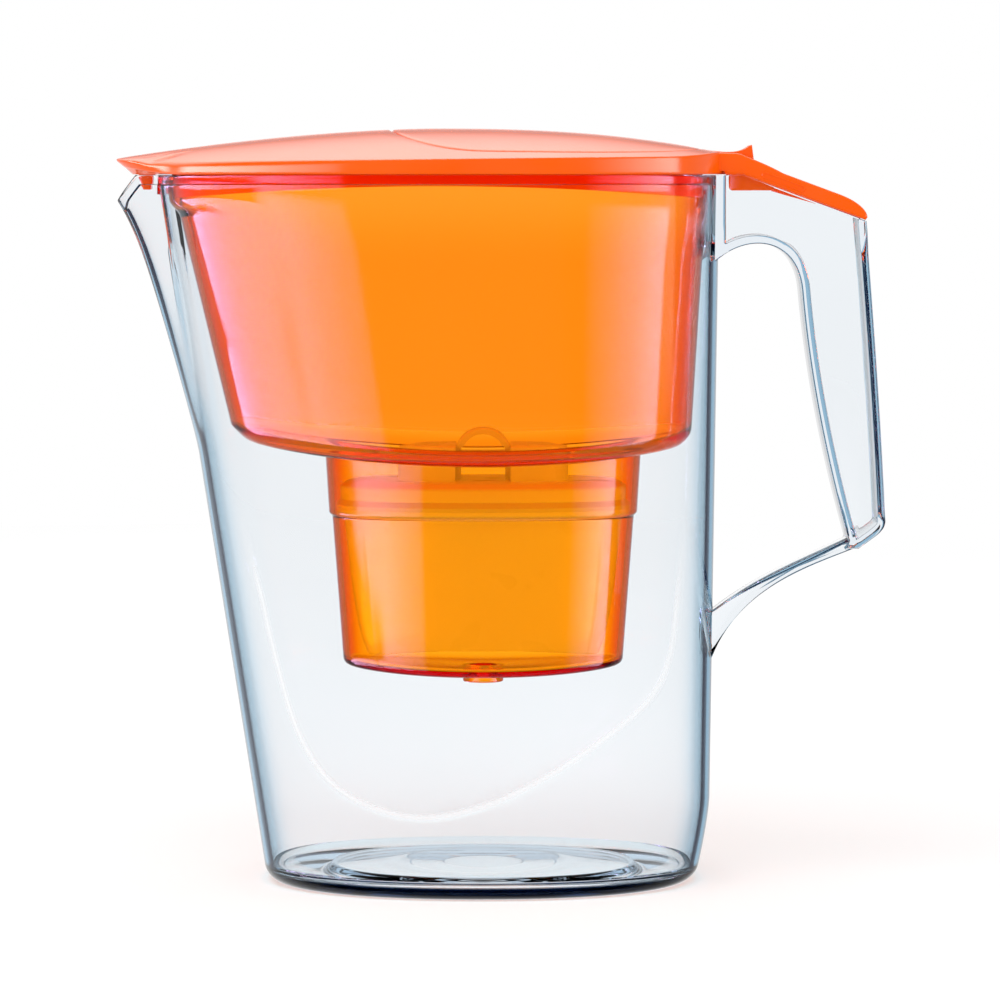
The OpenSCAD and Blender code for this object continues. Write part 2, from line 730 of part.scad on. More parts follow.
module funnel_shell() {
    lip_out = jug_wall / 2 + rest_gap + 0.1;
    ledge_top = rim_h - ledge_depth + rest_gap;
    looped_skin(reversed([
        // outside, from the lip down
        rim_ring(rim_h, lip_out), rim_ring(ledge_top, lip_out), rim_ring(ledge_top, collar_out),
        collar_low_ring(collar_out, 0), wall_top_ring(0, -2.6),
        funnel_ring((collar_low + floor_h + 12) / 2, 0), funnel_ring(floor_h + 12, 0),
        floor_ring(4, 0.1), floor_ring(1.2, 1.2), floor_ring(0, 4),
        // cup outside
        cup_top_ring(0, 0), cup_ring(cup_step_h + 0.6, 0), cup_ring(cup_step_h - 0.4, 0),
        cup_low_ring(cup_round, 0), cup_low_ring(cup_round * 0.3, cup_round * 0.3),
        cup_low_ring(0, cup_round), cup_nozzle_ring(0),
        circle_ring(nozzle_r, cup_bottom_h - nozzle_l + 0.4),
        circle_ring(nozzle_r - 0.4, cup_bottom_h - nozzle_l),
        circle_ring(nozzle_bore_r, cup_bottom_h - nozzle_l),
        // cup inside
        circle_ring(nozzle_bore_r, cup_bottom_h + cup_floor_t),
        cup_low_ring(cup_floor_t, cup_round + 1), cup_low_ring(cup_round, funnel_wall),
        cup_ring(cup_step_h - 0.4, funnel_wall), cup_ring(cup_step_h + 0.4, funnel_wall),
        cup_top_ring(1.2, funnel_wall), cup_top_ring(funnel_wall, funnel_wall - 0.8),
        // funnel inside
        floor_ring(funnel_wall, 6), floor_ring(3.2, 3.4), floor_ring(6, funnel_wall),
        funnel_ring(floor_h + 14, funnel_wall), funnel_ring((collar_low + floor_h + 14) / 2, funnel_wall),
        wall_top_ring(funnel_wall, -1.4), collar_low_ring(collar_in, 0.6), rim_ring(rim_h, collar_in)]));
}

function cup_nozzle_ring(h) = circle_ring(nozzle_r, cup_bottom_h + h);

// Catch at the front of the rim, with a slot for a fingertip
latch_l = 8;
latch_w = 16;
latch_h = 6.3;
latch_x = jug_front(rim_h) + 1.7;
module latch_block() {
    translate([latch_x, -latch_w / 2, rim_h - latch_h])
        cube([latch_l, latch_w, latch_h - 0.1]);
}

module latch_slot() {
    translate([latch_x + 2.6, -latch_w / 2 + 2, rim_h - latch_h + 2.2])
        cube([3.2, latch_w - 4, latch_h]);
}

module funnel() {
    color("darkorange", 0.8)
        one_mesh()
            difference() {
                union() {
                    funnel_shell();
                    latch_block();
                }
                latch_slot();
            }
}

// ---------- Cartridge ----------

seat_h = cup_step_h + rest_gap + 0.6;
seat_a = cup_a(cup_step_h + 1) - funnel_wall - 0.35;
cartridge_top_h = seat_h + 8.6;
cartridge_power = cup_power;
function cart_ring(a, z) = [for (t = even_angles(cup_points))
    let (p = oval_pt(t, 0, a, a - cup_narrower / 2, cartridge_power)) [p[0], p[1], z]];

body_a = cartridge_body_l / 2;
foot_a = cartridge_foot_l / 2;
// Half length of the cartridge's body, which narrows towards its foot
function body_a_at(z) = foot_a + (body_a - foot_a)
    * pow(ramp(z, cartridge_bottom_h, cup_step_h), 0.55);

// Heights of the rings of the cartridge's body
body_heights = [for (k = [0:4])
    cartridge_bottom_h + (cup_step_h - 1 - cartridge_bottom_h) * pow(k / 4, 1.5)];

groove_a = seat_a - 2.2;
neck_a = seat_a - 1.4;
seat_lip = 1.6;
groove_h = 3;

module cartridge_shell() {
    w = cartridge_wall;
    color("ivory")
        difference() {
            capped_skin(concat(
                [cart_ring(foot_a - 6, cartridge_bottom_h)],
                [for (z = body_heights) cart_ring(body_a_at(z), z)],
                [cart_ring(body_a, seat_h), cart_ring(seat_a, seat_h),
                    cart_ring(seat_a, seat_h + seat_lip), cart_ring(groove_a, seat_h + seat_lip),
                    cart_ring(groove_a, seat_h + seat_lip + groove_h),
                    cart_ring(neck_a, seat_h + seat_lip + groove_h), cart_ring(neck_a, cartridge_top_h),
                    cart_ring(body_a - w, cartridge_top_h)],
                [for (i = [4:-1:1]) cart_ring(body_a_at(body_heights[i]) - w, body_heights[i])],
                [cart_ring(foot_a - w, cartridge_bottom_h + w),
                    cart_ring(foot_a - 6, cartridge_bottom_h + w)]),
                [0, 0, cartridge_bottom_h], [0, 0, cartridge_bottom_h + w]);
            outlet_holes();
        }
}

// Holes in the cartridge's floor
module outlet_holes() {
    pitch = 9;
    for (i = [-2:2], j = [-1:1])
        translate([i * pitch, j * 7, cartridge_bottom_h - overrun])
            cylinder(r = 1.8, h = cartridge_wall + 2 * overrun);
}

// Disc of half length a, from height z up by t
module oval_disc(a, z, t) {
    capped_skin([cart_ring(a, z), cart_ring(a, z + t)], [0, 0, z], [0, 0, z + t]);
}

mesh_gap = 0.1;
outlet_mesh_h = cartridge_bottom_h + cartridge_wall;
intake_mesh_h = cartridge_top_h - mesh_t;
media_h = outlet_mesh_h + mesh_t;

module outlet_mesh() {
    color("whitesmoke")
        oval_disc(foot_a - cartridge_wall - mesh_gap, outlet_mesh_h, mesh_t);
}

module intake_mesh() {
    color("whitesmoke")
        oval_disc(body_a - cartridge_wall - mesh_gap, intake_mesh_h, mesh_t);
}

// Packed bed of granules between the two meshes
module filter_media() {
    gap = cartridge_wall + rest_gap;
    color("dimgray")
        capped_skin(concat([cart_ring(foot_a - gap, media_h)],
            [for (i = [1:4]) cart_ring(body_a_at(body_heights[i]) - gap, body_heights[i])],
            [cart_ring(body_a - gap - 0.3, intake_mesh_h)]),
            [0, 0, media_h], [0, 0, intake_mesh_h]);
}

module cartridge_seal() {
    low = seat_h + seat_lip;
    color("silver")
        looped_skin([cart_ring(groove_a, low), cart_ring(seat_a + 0.05, low),
            cart_ring(seat_a + 0.1, low + groove_h * 0.4), cart_ring(neck_a, low + groove_h),
            cart_ring(groove_a, low + groove_h)]);
}

// ---------- Cartridge cover ----------

dome_l = humps_l;
dome_w = 34;
dome_round = 7;
channel_l = 2 * loop_r - 1;
loop_w = 9;
loop_rise = 7.4;

// Outline of the humps at a height above the cover plate
function dome_ring(h, inset, z0) = [for (t = even_angles(cup_points))
    let (p = oval_pt(t, 0, dome_l / 2 - inset, dome_w / 2 - inset, 3)) [p[0], p[1], z0 + h]];

module dome_solid(inset, z0) {
    capped_skin([dome_ring(0, inset, z0),
        for (a = [0:30:90]) dome_ring(hump_h - dome_round * 0.6 * (1 - sin(a)) - inset,
            inset + dome_round * (1 - cos(a)), z0)],
        [0, 0, z0], [0, 0, z0 + hump_h - inset]);
}

module humps() {
    z0 = cartridge_top_h + 2.4;
    difference() {
        translate([0, 0, -sink]) dome_solid(0, z0);
        translate([0, 0, -2 * sink]) dome_solid(1.4, z0);
        translate([-channel_l / 2, -dome_w, z0 - 2 * sink])
            cube([channel_l, 2 * dome_w, hump_h + 3 * overrun]);
        for (side = [-1, 1], k = [-2:2])
            translate([side * (channel_l / 2 + dome_l / 2) / 2 - 4, k * 5 - 0.7, z0 + 1])
                cube([8, 1.4, hump_h]);
    }
}

// Pull loop that bridges the channel between the humps
module pull_loop() {
    z0 = cartridge_top_h + 2.4;
    slab(loop_w)
        difference() {
            arch_shape(loop_r, z0 - sink, z0 + loop_rise);
            arch_shape(loop_r - loop_t, z0 - 2 * sink, z0 + loop_rise);
        }
}

// Upright shape with a half-round top of radius r about height mid
module arch_shape(r, low, mid) {
    translate([0, mid])
        circle(r);
    translate([-r, low])
        square([2 * r, mid - low]);
}

module cartridge_cover() {
    color("ivory")
        one_mesh() {
            capped_skin([cart_ring(neck_a, cartridge_top_h), cart_ring(neck_a - 1.6, cartridge_top_h + 1.4),
                cart_ring(neck_a - 5, cartridge_top_h + 2.4)],
                [0, 0, cartridge_top_h], [0, 0, cartridge_top_h + 2.4]);
            humps();
            pull_loop();
        }
}

jug();
lid();
flip_lid();
funnel();
cartridge_shell();
cartridge_cover();
cartridge_seal();
intake_mesh();
outlet_mesh();
filter_media();
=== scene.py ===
import contextlib
import math

import bmesh
import bpy
import numpy as np
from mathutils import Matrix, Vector


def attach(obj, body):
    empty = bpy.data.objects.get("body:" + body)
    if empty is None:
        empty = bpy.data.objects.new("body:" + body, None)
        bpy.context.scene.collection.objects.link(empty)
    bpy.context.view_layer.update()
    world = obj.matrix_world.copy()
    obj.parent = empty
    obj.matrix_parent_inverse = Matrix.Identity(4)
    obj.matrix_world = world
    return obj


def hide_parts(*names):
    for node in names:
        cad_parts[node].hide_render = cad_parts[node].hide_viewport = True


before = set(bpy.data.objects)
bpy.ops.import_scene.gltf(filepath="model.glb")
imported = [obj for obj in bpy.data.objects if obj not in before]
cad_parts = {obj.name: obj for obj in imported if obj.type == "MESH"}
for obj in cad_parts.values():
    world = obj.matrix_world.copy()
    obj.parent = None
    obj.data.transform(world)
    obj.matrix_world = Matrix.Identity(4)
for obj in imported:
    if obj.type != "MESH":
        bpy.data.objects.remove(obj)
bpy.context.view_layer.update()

# Sizes are in millimetres, in the part's own frame: the spout points along -X, the handle along +X.
MM = 0.001

# ---------- Sizes of the part ----------

RIM = 234.0
WALL = 2.7
OVAL = 2.2
FOOT_FRONT, FRONT_LEAN = 72.1, 0.155
FOOT_BACK, BACK_LEAN = 75.2, 0.0125
FOOT_HALF_W, SIDE_LEAN = 51.5, 0.015
TUCK_H, TUCK_IN = 27.5, 4.4
LIP_DROP = 8.2
LIP = RIM - LIP_DROP
LEDGE = 3.0
SPOUT_START = 143.0
SPOUT_REACH = 14.0
SPOUT_CURL = 3.5
SPOUT_W = 26.0
FOOT_ROUND = 5.0
HOLLOW = 3.0
RIDGE_UP, RIDGE_HALF, RIDGE_REACH = 0.22, 2.2, 3

GRIP_W = 25.0
GRIP_WALL = 2.6
STRUT_W = 14.0
GRIP_TOP_X = 125.9
HEEL_X = 132.9
HEEL_H = 120.0
ARCH_H = RIM - 21.5
ARCH_X = GRIP_TOP_X - 21.0

LID_OVER = 1.2
CROWN_H = 15.3
BAND_H = 5.3
LID_T = 2.0
SKIRT_H = 3.6
SKIRT_ARCH = 4.1
COVER_W = 27.4
COVER_SIDE = 5.5
POCKET_H = RIM - 5.2

FLAP_FRONT = 33.0
FLAP_BACK = 69.0
FLAP_W = 96.0
SEAM = 0.5
LEVER_W = 13.0
STUB_R = 1.6
STUB_PLAY = 0.06

FUNNEL_WALL = 2.0
FLOOR_H = 140.0
FLOOR_SAG = 460.0
CUP_STEP_H = 122.0
CUP_BOTTOM_H = 69.5
CUP_ROUND = 4.5
CUP_SAG = 409.0
CUP_A, CUP_LEAN = 52.2, 0.07
CUP_SLIM = 21
CUP_POWER = 2.4
NOZZLE_R = 6.7
BORE_R = 4.6
CART_BOTTOM_H = 77.0
CART_WALL = 1.6
GAP = 0.2
LIFT_GAP = 0.8

# ---------- Curves and ovals ----------


def signed_power(v, p):
    return np.sign(v) * np.abs(v) ** p


def ramp(v, a, b):
    return np.clip((v - a) / (b - a), 0, 1)


def bell(v, half):
    return np.where(np.abs(v) >= half, 0, (1 + np.cos(np.pi * np.clip(v / half, -1, 1))) / 2)


def oval(t, cx, a, b, power=OVAL):
    """Points of an oval at angles t, with centre cx, half length a and half width b."""
    return cx + a * signed_power(np.cos(t), 2 / power), b * signed_power(np.sin(t), 2 / power)


def ring(x, y, z):
    """One ring of points, at one height or at a height for each point."""
    return np.stack([x, y, np.broadcast_to(z, np.shape(x))], axis=-1).astype(float)


def cubic(points, steps):
    """Points on a cubic curve, as (x, z) pairs."""
    p = np.array(points, float)
    t = np.linspace(0, 1, steps + 1)[:, None]
    return p[0] * (1 - t) ** 3 + p[1] * 3 * t * (1 - t) ** 2 + p[2] * 3 * t * t * (1 - t) + p[3] * t ** 3


def around(x, z, *offsets):
    """Points of an outline at offsets from (x, z)."""
    return [(x + across, z + up) for across, up in offsets]


def unit(v):
    return v / np.maximum(np.linalg.norm(v, axis=-1, keepdims=True), 1e-9)


def eased(rings, closed=False, steps=4):
    """Plain rings from rings and (ring, radius) pairs, whose corners are rounded by the radius."""
    pairs = [r if isinstance(r, tuple) else (r, 0) for r in rings]
    plain = [r for r, _ in pairs]
    out = []
    for i, (here, radius) in enumerate(pairs):
        if not radius or (not closed and i in (0, len(plain) - 1)):
            out.append(here)
            continue
        before = plain[i - 1] - here
        after = plain[(i + 1) % len(plain)] - here
        cut = [np.minimum(radius, 0.48 * np.linalg.norm(v, axis=-1, keepdims=True)) for v in (before, after)]
        p = here + unit(before) * cut[0]
        q = here + unit(after) * cut[1]
        for s in np.linspace(0, 1, steps + 1):
            out.append(p * (1 - s) ** 2 + here * 2 * s * (1 - s) + q * s * s)
    return out


# ---------- Meshes ----------


def add_object(name, data):
    thing = bpy.data.objects.new(name, data)
    bpy.context.scene.collection.objects.link(thing)
    return thing


def built(name, bm):
    """A piece from a bmesh, which is used up."""
    mesh = bpy.data.meshes.new(name)
    bm.to_mesh(mesh)
    bm.free()
    return add_object(name, mesh)


@contextlib.contextmanager
def edited(mesh):
    """A bmesh of a mesh, written back at the end."""
    bm = bmesh.new()
    bm.from_mesh(mesh)
    yield bm
    bm.to_mesh(mesh)
    bm.free()


def smooth(piece, sharp=32):
    """Smooth shading, with the edges sharper than sharp degrees kept crisp."""
    limit = math.radians(sharp)
    with edited(piece.data) as bm:
        for face in bm.faces:
            face.smooth = True
        for edge in bm.edges:
            edge.smooth = len(edge.link_faces) == 2 and edge.calc_face_angle(0) < limit


def finished(piece, name, sharp=32):
    piece.name = piece.data.name = name
    smooth(piece, sharp)
    return piece


def skin(name, rings, caps=None, closed=False, sharp=32):
    """A solid between rings that run outward, up and back in. Caps are its first and last centre points;
    closed joins the last ring to the first instead."""
    count, n = len(rings), len(rings[0])
    points = [p for r in rings for p in r]
    faces = []
    for i in range(count if closed else count - 1):
        k = (i + 1) % count
        for j in range(n):
            m = (j + 1) % n
            faces.append((i * n + j, i * n + m, k * n + m, k * n + j))
    if caps is not None:
        low, top = count * n, count * n + 1
        points += [caps[0], caps[1]]
        faces += [(low, (j + 1) % n, j) for j in range(n)]
        faces += [(top, (count - 1) * n + j, (count - 1) * n + (j + 1) % n) for j in range(n)]
    mesh = bpy.data.meshes.new(name)
    mesh.from_pydata((np.asarray(points) * MM).tolist(), [], faces)
    mesh.validate()
    piece = add_object(name, mesh)
    smooth(piece, sharp)
    return piece


def inward(outline):
    """Unit directions that point into a closed outline from its points."""
    p = np.array(outline, float)
    area = np.sum(p[:, 0] * np.roll(p[:, 1], -1) - np.roll(p[:, 0], -1) * p[:, 1])
    along = unit(unit(np.roll(p, -1, 0) - p) + unit(p - np.roll(p, 1, 0)))
    return np.stack([-along[:, 1], along[:, 0]], axis=-1) * np.sign(area)


def pillow(name, outline, width, radii):
    """A flat (x, z) outline made width wide, with an edge rounding of its own at each point."""
    p, n = np.array(outline, float), inward(outline)
    bm = bmesh.new()
    rings = []
    for side in (-1, 1):
        for a in np.linspace(0, math.pi / 2, 7)[::-side]:
            q = p + n * (radii * (1 - math.sin(a)))[:, None]
            y = side * (width / 2 - radii * (1 - math.cos(a)))
            rings.append([bm.verts.new((v[0] * MM, w * MM, v[1] * MM)) for v, w in zip(q, y)])
    for low, top in zip(rings, rings[1:]):
        for j in range(len(p)):
            k = (j + 1) % len(p)
            bm.faces.new((low[j], low[k], top[k], top[j]))
    bm.faces.new(rings[0])
    bm.faces.new(rings[-1])
    bmesh.ops.recalc_face_normals(bm, faces=bm.faces)
    return built(name, bm)


def slab(name, outline, width, bevel=0.0, steps=3, y=0.0):
    """A flat (x, z) outline made width wide about the middle plane, with its long edges rounded."""
    bm = bmesh.new()
    sides = []
    for offset in (y - width / 2, y + width / 2):
        sides.append([bm.verts.new((x * MM, offset * MM, z * MM)) for x, z in outline])
    ends = [bm.faces.new(s) for s in sides]
    for j in range(len(outline)):
        k = (j + 1) % len(outline)
        bm.faces.new((sides[0][j], sides[0][k], sides[1][k], sides[1][j]))
    bmesh.ops.recalc_face_normals(bm, faces=bm.faces)
    if bevel:
        edges = [e for f in ends for e in f.edges]
        bmesh.ops.bevel(bm, geom=edges, offset=bevel * MM, segments=steps, profile=0.5,
                        affect="EDGES", clamp_overlap=True)
    return built(name, bm)


def rod(name, x, z, radius, width, y=0.0, bevel=0.2):
    """A short round bar along Y."""
    a = np.linspace(0, 2 * np.pi, 48, endpoint=False)
    outline = np.stack([x + radius * np.cos(a), z + radius * np.sin(a)], axis=-1)
    return slab(name, outline, width, bevel, 2, y)


def evaluate(piece):
    """Turns what a piece's modifiers make into its mesh, and removes them."""
    bpy.context.view_layer.update()
    result = bpy.data.meshes.new_from_object(piece.evaluated_get(bpy.context.evaluated_depsgraph_get()))
    piece.modifiers.clear()
    old, piece.data = piece.data, result
    bpy.data.meshes.remove(old)
    result.name = piece.name


def combined(way, piece, *others):
    for other in others:
        joint = piece.modifiers.new("joint", "BOOLEAN")
        joint.solver, joint.operation, joint.object = "MANIFOLD", way, other
        evaluate(piece)
        bpy.data.objects.remove(other)
    return piece


def joined(piece, *others):
    return combined("UNION", piece, *others)


def cut(piece, *others):
    return combined("DIFFERENCE", piece, *others)


def inset_outline(outline, depth):
    """The outline moved in by depth, without the points that fall too near it at tight corners."""
    p = np.array(outline, float)
    moved = p + inward(outline) * depth
    start, end = p, np.roll(p, -1, 0)
    keep = []
    for q in moved:
        d = end - start
        s = np.clip(np.sum((q - start) * d, 1) / np.maximum(np.sum(d * d, 1), 1e-9), 0, 1)
        near = np.linalg.norm(start + d * s[:, None] - q, axis=1).min()
        if near > depth - 0.03:
            keep.append(q)
    return np.array(keep)


def dense(outline, step):
    """The same closed outline with a point at least every step."""
    p = np.array(outline, float)
    out = []
    for a, b in zip(p, np.roll(p, -1, 0)):
        count = max(1, int(np.ceil(np.linalg.norm(b - a) / step)))
        out += [a + (b - a) * k / count for k in range(count)]
    return np.array(out)


# ---------- Jug ----------

SIDE_POINTS = 104
SPOUT_POINTS = 24


def jug_front(z):
    return -(FOOT_FRONT + FRONT_LEAN * z)


def jug_back(z):
    return FOOT_BACK + BACK_LEAN * z - TUCK_IN * np.maximum(0, (TUCK_H - z) / TUCK_H) ** 1.4


def jug_half_w(z):
    return FOOT_HALF_W + SIDE_LEAN * z


def jug_centre(z):
    return (jug_front(z) + jug_back(z)) / 2


def jug_half_l(z):
    return (jug_back(z) - jug_front(z)) / 2


def spout_out(z):
    s = ramp(z, SPOUT_START, LIP)
    return (SPOUT_REACH - SPOUT_CURL) * s ** 1.15 + SPOUT_CURL * s ** 8


def turns(z=RIM, inset=0.0):
    """Angles round the jug, with one point on each crease where the spout leaves the oval."""
    crease_y = SPOUT_W / 2 - inset / 2
    crease = np.pi - np.arcsin((crease_y / (jug_half_w(z) - inset)) ** (OVAL / 2))
    side = crease * np.arange(SIDE_POINTS) / SIDE_POINTS
    spout = crease + (np.pi - crease) * np.arange(SPOUT_POINTS) / SPOUT_POINTS
    half = np.concatenate([side, spout])
    return np.concatenate([half, [np.pi], 2 * np.pi - half[:0:-1]])


TURNS = turns()


def jug_oval(z, inset=0.0, t=TURNS):
    """The jug's oval at a height, without its spout."""
    return oval(t, jug_centre(z), jug_half_l(z) - inset, jug_half_w(z) - inset)


def bulge(x, y, inset, z):
    """Cross-section of the spout: 1 at its tip, 0 at its creases, which soften lower down."""
    near = np.minimum(1, np.abs(y) / (SPOUT_W / 2 - inset / 2))
    crisp = ramp(z, 186, 214)
    return np.where(x > 0, 0, (1 - near ** 1.6) * crisp + bell(y, 17 - inset / 2) * (1 - crisp))


def wall_points(z, inset, t=None):
    x, y = jug_oval(z, inset, turns(np.mean(z), inset) if t is None else t)
    return ring(x - spout_out(z) * bulge(x, y, inset, z), y, z)


def edge_height():
    """Height of the pouring edge at each angle: the rim, cut down along a slant at the spout."""
    x, y = jug_oval(LIP, 0, turns(LIP))
    out = spout_out(LIP) * bulge(x, y, 0, LIP) - (SPOUT_REACH - LIP_DROP / 1.15)
    return RIM - np.minimum(LIP_DROP, np.maximum(0, out * 1.15))


EDGE = edge_height()


def edge_points(inset, drop):
    return wall_points(EDGE - drop, inset, turns(RIM, inset))


def hollow_points(grow, z):
    return ring(*oval(TURNS, 0, 50 + grow, 37 + grow), z)


def disc_points(r, z):
    return ring(r * np.cos(TURNS), r * np.sin(TURNS), z)


def wall_heights(low):
    """Heights of the jug's rings, closer together where the wall curves."""
    return np.concatenate([np.arange(low, 30, 1.6), np.arange(30, SPOUT_START, 4.0),
                           np.arange(SPOUT_START, 205, 3.0)])


def upper_wall(inset):
    """Rings between the even part of the wall and the pouring edge."""
    base = 205.0
    return [wall_points(base + (EDGE - 1.2 - base) * s, inset, turns(base + (RIM - base) * s, inset))
            for s in np.linspace(0, 1, 14)[:-1]]


# The soft ridge on the side, as (x, z): down from the front, round and up again to the back
RIDGE_POINTS = [
    (-77.5, 124), (-74.4, 107.5), (-71.6, 96), (-69.2, 85), (-66.3, 73.5), (-63.4, 63), (-60.2, 54),
    (-56.6, 47), (-52.8, 41.5), (-48.7, 37.3), (-44.4, 34.2), (-39.4, 31.7), (-33, 29.4), (-26.6, 28),
    (-20.2, 27.4), (-13.7, 27.9), (-7, 29.2), (5.6, 33.2), (18.5, 39.4), (28.9, 45.4), (38.9, 51.9),
    (47, 57.8), (54.3, 64.4), (59, 72), (62, 84), (63.8, 104), (65, 122)]


def through(points):
    """A smooth line through points."""
    p = np.array([points[0]] + list(points) + [points[-1]], float)
    out = []
    for a, b, c, d in zip(p[:-3], p[1:-2], p[2:-1], p[3:]):
        for t in np.arange(6) / 6:
            out.append(b + (c - a) * t / 2 + (2 * a - 5 * b + 4 * c - d) * t * t / 2
                       + (3 * b - a - 3 * c + d) * t ** 3 / 2)
    return np.array(out + [p[-1]])


RIDGE = through(RIDGE_POINTS)


def ridge_rise(x, z):
    """Distance from the middle of the soft ridge on the jug's side, and its height there."""
    start, end = RIDGE[:-1], RIDGE[1:]
    d = end - start
    p = np.stack([x, z], axis=-1)[:, None]
    s = np.clip(np.sum((p - start) * d, -1) / np.sum(d * d, -1), 0, 1)
    gaps = np.linalg.norm(start + d * s[..., None] - p, axis=-1)
    nearest = gaps.argmin(1)
    gap = gaps.min(1)
    along = nearest + s[np.arange(len(s)), nearest]
    fade = ramp(along, 0, 9) * ramp(along, len(d), len(d) - 9)
    return gap, RIDGE_UP * bell(gap, RIDGE_HALF) * fade


def ridge_at(places):
    """Which places in metres are on the wall along the ridge, and the ridge's height there."""
    x, y, z = np.array(places).T / MM
    gap, height = ridge_rise(x, z)
    return (gap < RIDGE_REACH) & (-y > side_y(x, z, 0.8)), height


def add_ridge(piece):
    """Refines the wall along the ridge and raises it there."""
    with edited(piece.data) as bm:
        for _ in range(2):
            near = ridge_at([(e.verts[0].co + e.verts[1].co) / 2 for e in bm.edges])[0]
            edges = [e for e, n in zip(bm.edges, near) if n and e.calc_length() > 0.6 * MM]
            bmesh.ops.subdivide_edges(bm, edges=edges, cuts=1, use_grid_fill=True)
        bm.verts.ensure_lookup_table()
        near, height = ridge_at([v.co for v in bm.verts])
        for k in np.nonzero(near)[0]:
            x, _, z = np.array(bm.verts[k].co) / MM
            slope = side_y(x + 0.5, z, 0) - side_y(x - 0.5, z, 0)
            out = np.array([-slope, 1.0]) / math.hypot(slope, 1) * height[k]
            bm.verts[k].co = Vector((x + out[0], -side_y(x, z, 0) - out[1], z)) * MM
        bmesh.ops.triangulate(bm, faces=[f for f in bm.faces if len(f.verts) > 4])


def mark_ridge(piece):
    """Stores how far up the ridge each point is, for the painted highlight along the ridge."""
    near, height = ridge_at([v.co for v in piece.data.vertices])
    ridge = piece.data.attributes.new("ridge", "FLOAT", "POINT")
    ridge.data.foreach_set("value", np.where(near, (height / RIDGE_UP) ** 2, 0))


def side_y(x, z, inset):
    """Half width of the jug at x, away from its spout."""
    share = np.clip(np.abs((x - jug_centre(z)) / jug_half_l(z)), 0, 0.9999)
    return jug_half_w(z) * (1 - share ** OVAL) ** (1 / OVAL) - inset


def quarter_turn(low, inset, radius):
    """Rings of a rounding between a wall and what lies under it, from below up."""
    return [wall_points(low + radius * (1 - math.sin(a)), inset + radius * (1 - math.cos(a)))
            for a in np.radians(np.arange(82.5, -1, -7.5))]


def jug_body():
    under = [(disc_points(13, HOLLOW + 0.3), 0.2), (disc_points(13.4, HOLLOW), 0.2),
             (disc_points(24, HOLLOW), 0.2), (disc_points(24.4, HOLLOW - 0.25), 0.2),
             disc_points(30, HOLLOW - 0.25), hollow_points(-3, HOLLOW - 0.25),
             (hollow_points(0, HOLLOW - 0.6), 1.0), (hollow_points(1.2, 0), 0.8)]
    outer = quarter_turn(0, 0, FOOT_ROUND)
    outer += [wall_points(z, 0) for z in wall_heights(FOOT_ROUND)] + upper_wall(0)
    rim = [(edge_points(0, 0), 0.9), (edge_points(WALL / 2, 0), 0.6), edge_points(WALL / 2, LEDGE),
           (edge_points(WALL, LEDGE), 0.4)]
    inner = [wall_points(z, WALL) for z in wall_heights(FOOT_ROUND + 1)] + upper_wall(WALL)[:-1]
    bottom = quarter_turn(WALL, WALL, FOOT_ROUND - WALL / 2)
    raised = [(hollow_points(WALL, WALL), 2.0), (hollow_points(0, WALL + HOLLOW), 1.0),
              hollow_points(-5, WALL + HOLLOW)]
    rings = under + outer + rim + inner[::-1] + bottom + raised
    return skin("jug_body", eased(rings), ((0, 0, HOLLOW + 0.3), (0, 0, WALL + HOLLOW)), sharp=28)


def grip_top_h(x):
    return RIM - max(0.0, x - (jug_back(RIM) + 7)) * 0.37


def root_x(z):
    return jug_back(z) - 2 * WALL


STRUT_H = HEEL_H - 17
ROOT_TOP = STRUT_H - 14.5
ROOT_LOW = STRUT_H - 28.5
FINGER_CORNER = (HEEL_X - 12.2, HEEL_H - 6.2)
FINGER_TURN = (FINGER_CORNER[0] - 0.6, FINGER_CORNER[1] - 2.6)
STRUT_END = (HEEL_X - 9, HEEL_H - 9)


def grip_curves():
    """Back, heel, finger side and arch of the grip."""
    back = cubic([(GRIP_TOP_X, grip_top_h(GRIP_TOP_X)), (GRIP_TOP_X + 2.8, RIM - 48),
                  (HEEL_X - 1.6, HEEL_H + 33), (HEEL_X, HEEL_H)], 28)
    heel = cubic(around(HEEL_X, HEEL_H, (0, 0), (-0.3, -3.5), (-3.5, -4.6)) + [STRUT_END], 12)
    finger = cubic([FINGER_CORNER, (ARCH_X + 5, HEEL_H + 32), (ARCH_X + 1.4, ARCH_H - 32),
                    (ARCH_X, ARCH_H - 16.5)], 28)
    arch = cubic([(ARCH_X, ARCH_H - 16.5), (ARCH_X - 2, ARCH_H + 5), (jug_back(ARCH_H) + 2.2, ARCH_H + 2),
                  (root_x(ARCH_H), ARCH_H - 12)], 28)
    return back, heel, finger, arch


def without_doubles(outline):
    keep = [outline[0]]
    for p in outline[1:]:
        if np.linalg.norm(np.array(p) - np.array(keep[-1])) > 0.05:
            keep.append(p)
    return keep


def grip():
    back, heel, finger, arch = grip_curves()
    outline = np.array(without_doubles(
        [(root_x(RIM), RIM), (jug_back(RIM) + 7, RIM), *back, *heel, FINGER_TURN, *finger, *arch]))
    x, z = outline.T
    back_side = ramp(x, GRIP_TOP_X - 9, GRIP_TOP_X - 2) * ramp(z, HEEL_H - 5, HEEL_H + 3) * ramp(-z, -216, -208)
    return pillow("grip", outline, GRIP_W, 0.5 + 2.9 * back_side)


def grip_core():
    back, heel, finger, arch = grip_curves()
    start = jug_back(RIM) + 1.4 - GRIP_WALL
    arch = [p for p in arch if p[0] > start]
    outline = [(start, RIM + 6), (GRIP_TOP_X, RIM + 6), *back, *heel, FINGER_TURN, *finger, *arch,
               (start, arch[-1][1] - 1)]
    core = inset_outline(dense(without_doubles(outline), 1.5), GRIP_WALL)
    return slab("core", core, GRIP_W - 2 * GRIP_WALL, 1.2, 4)


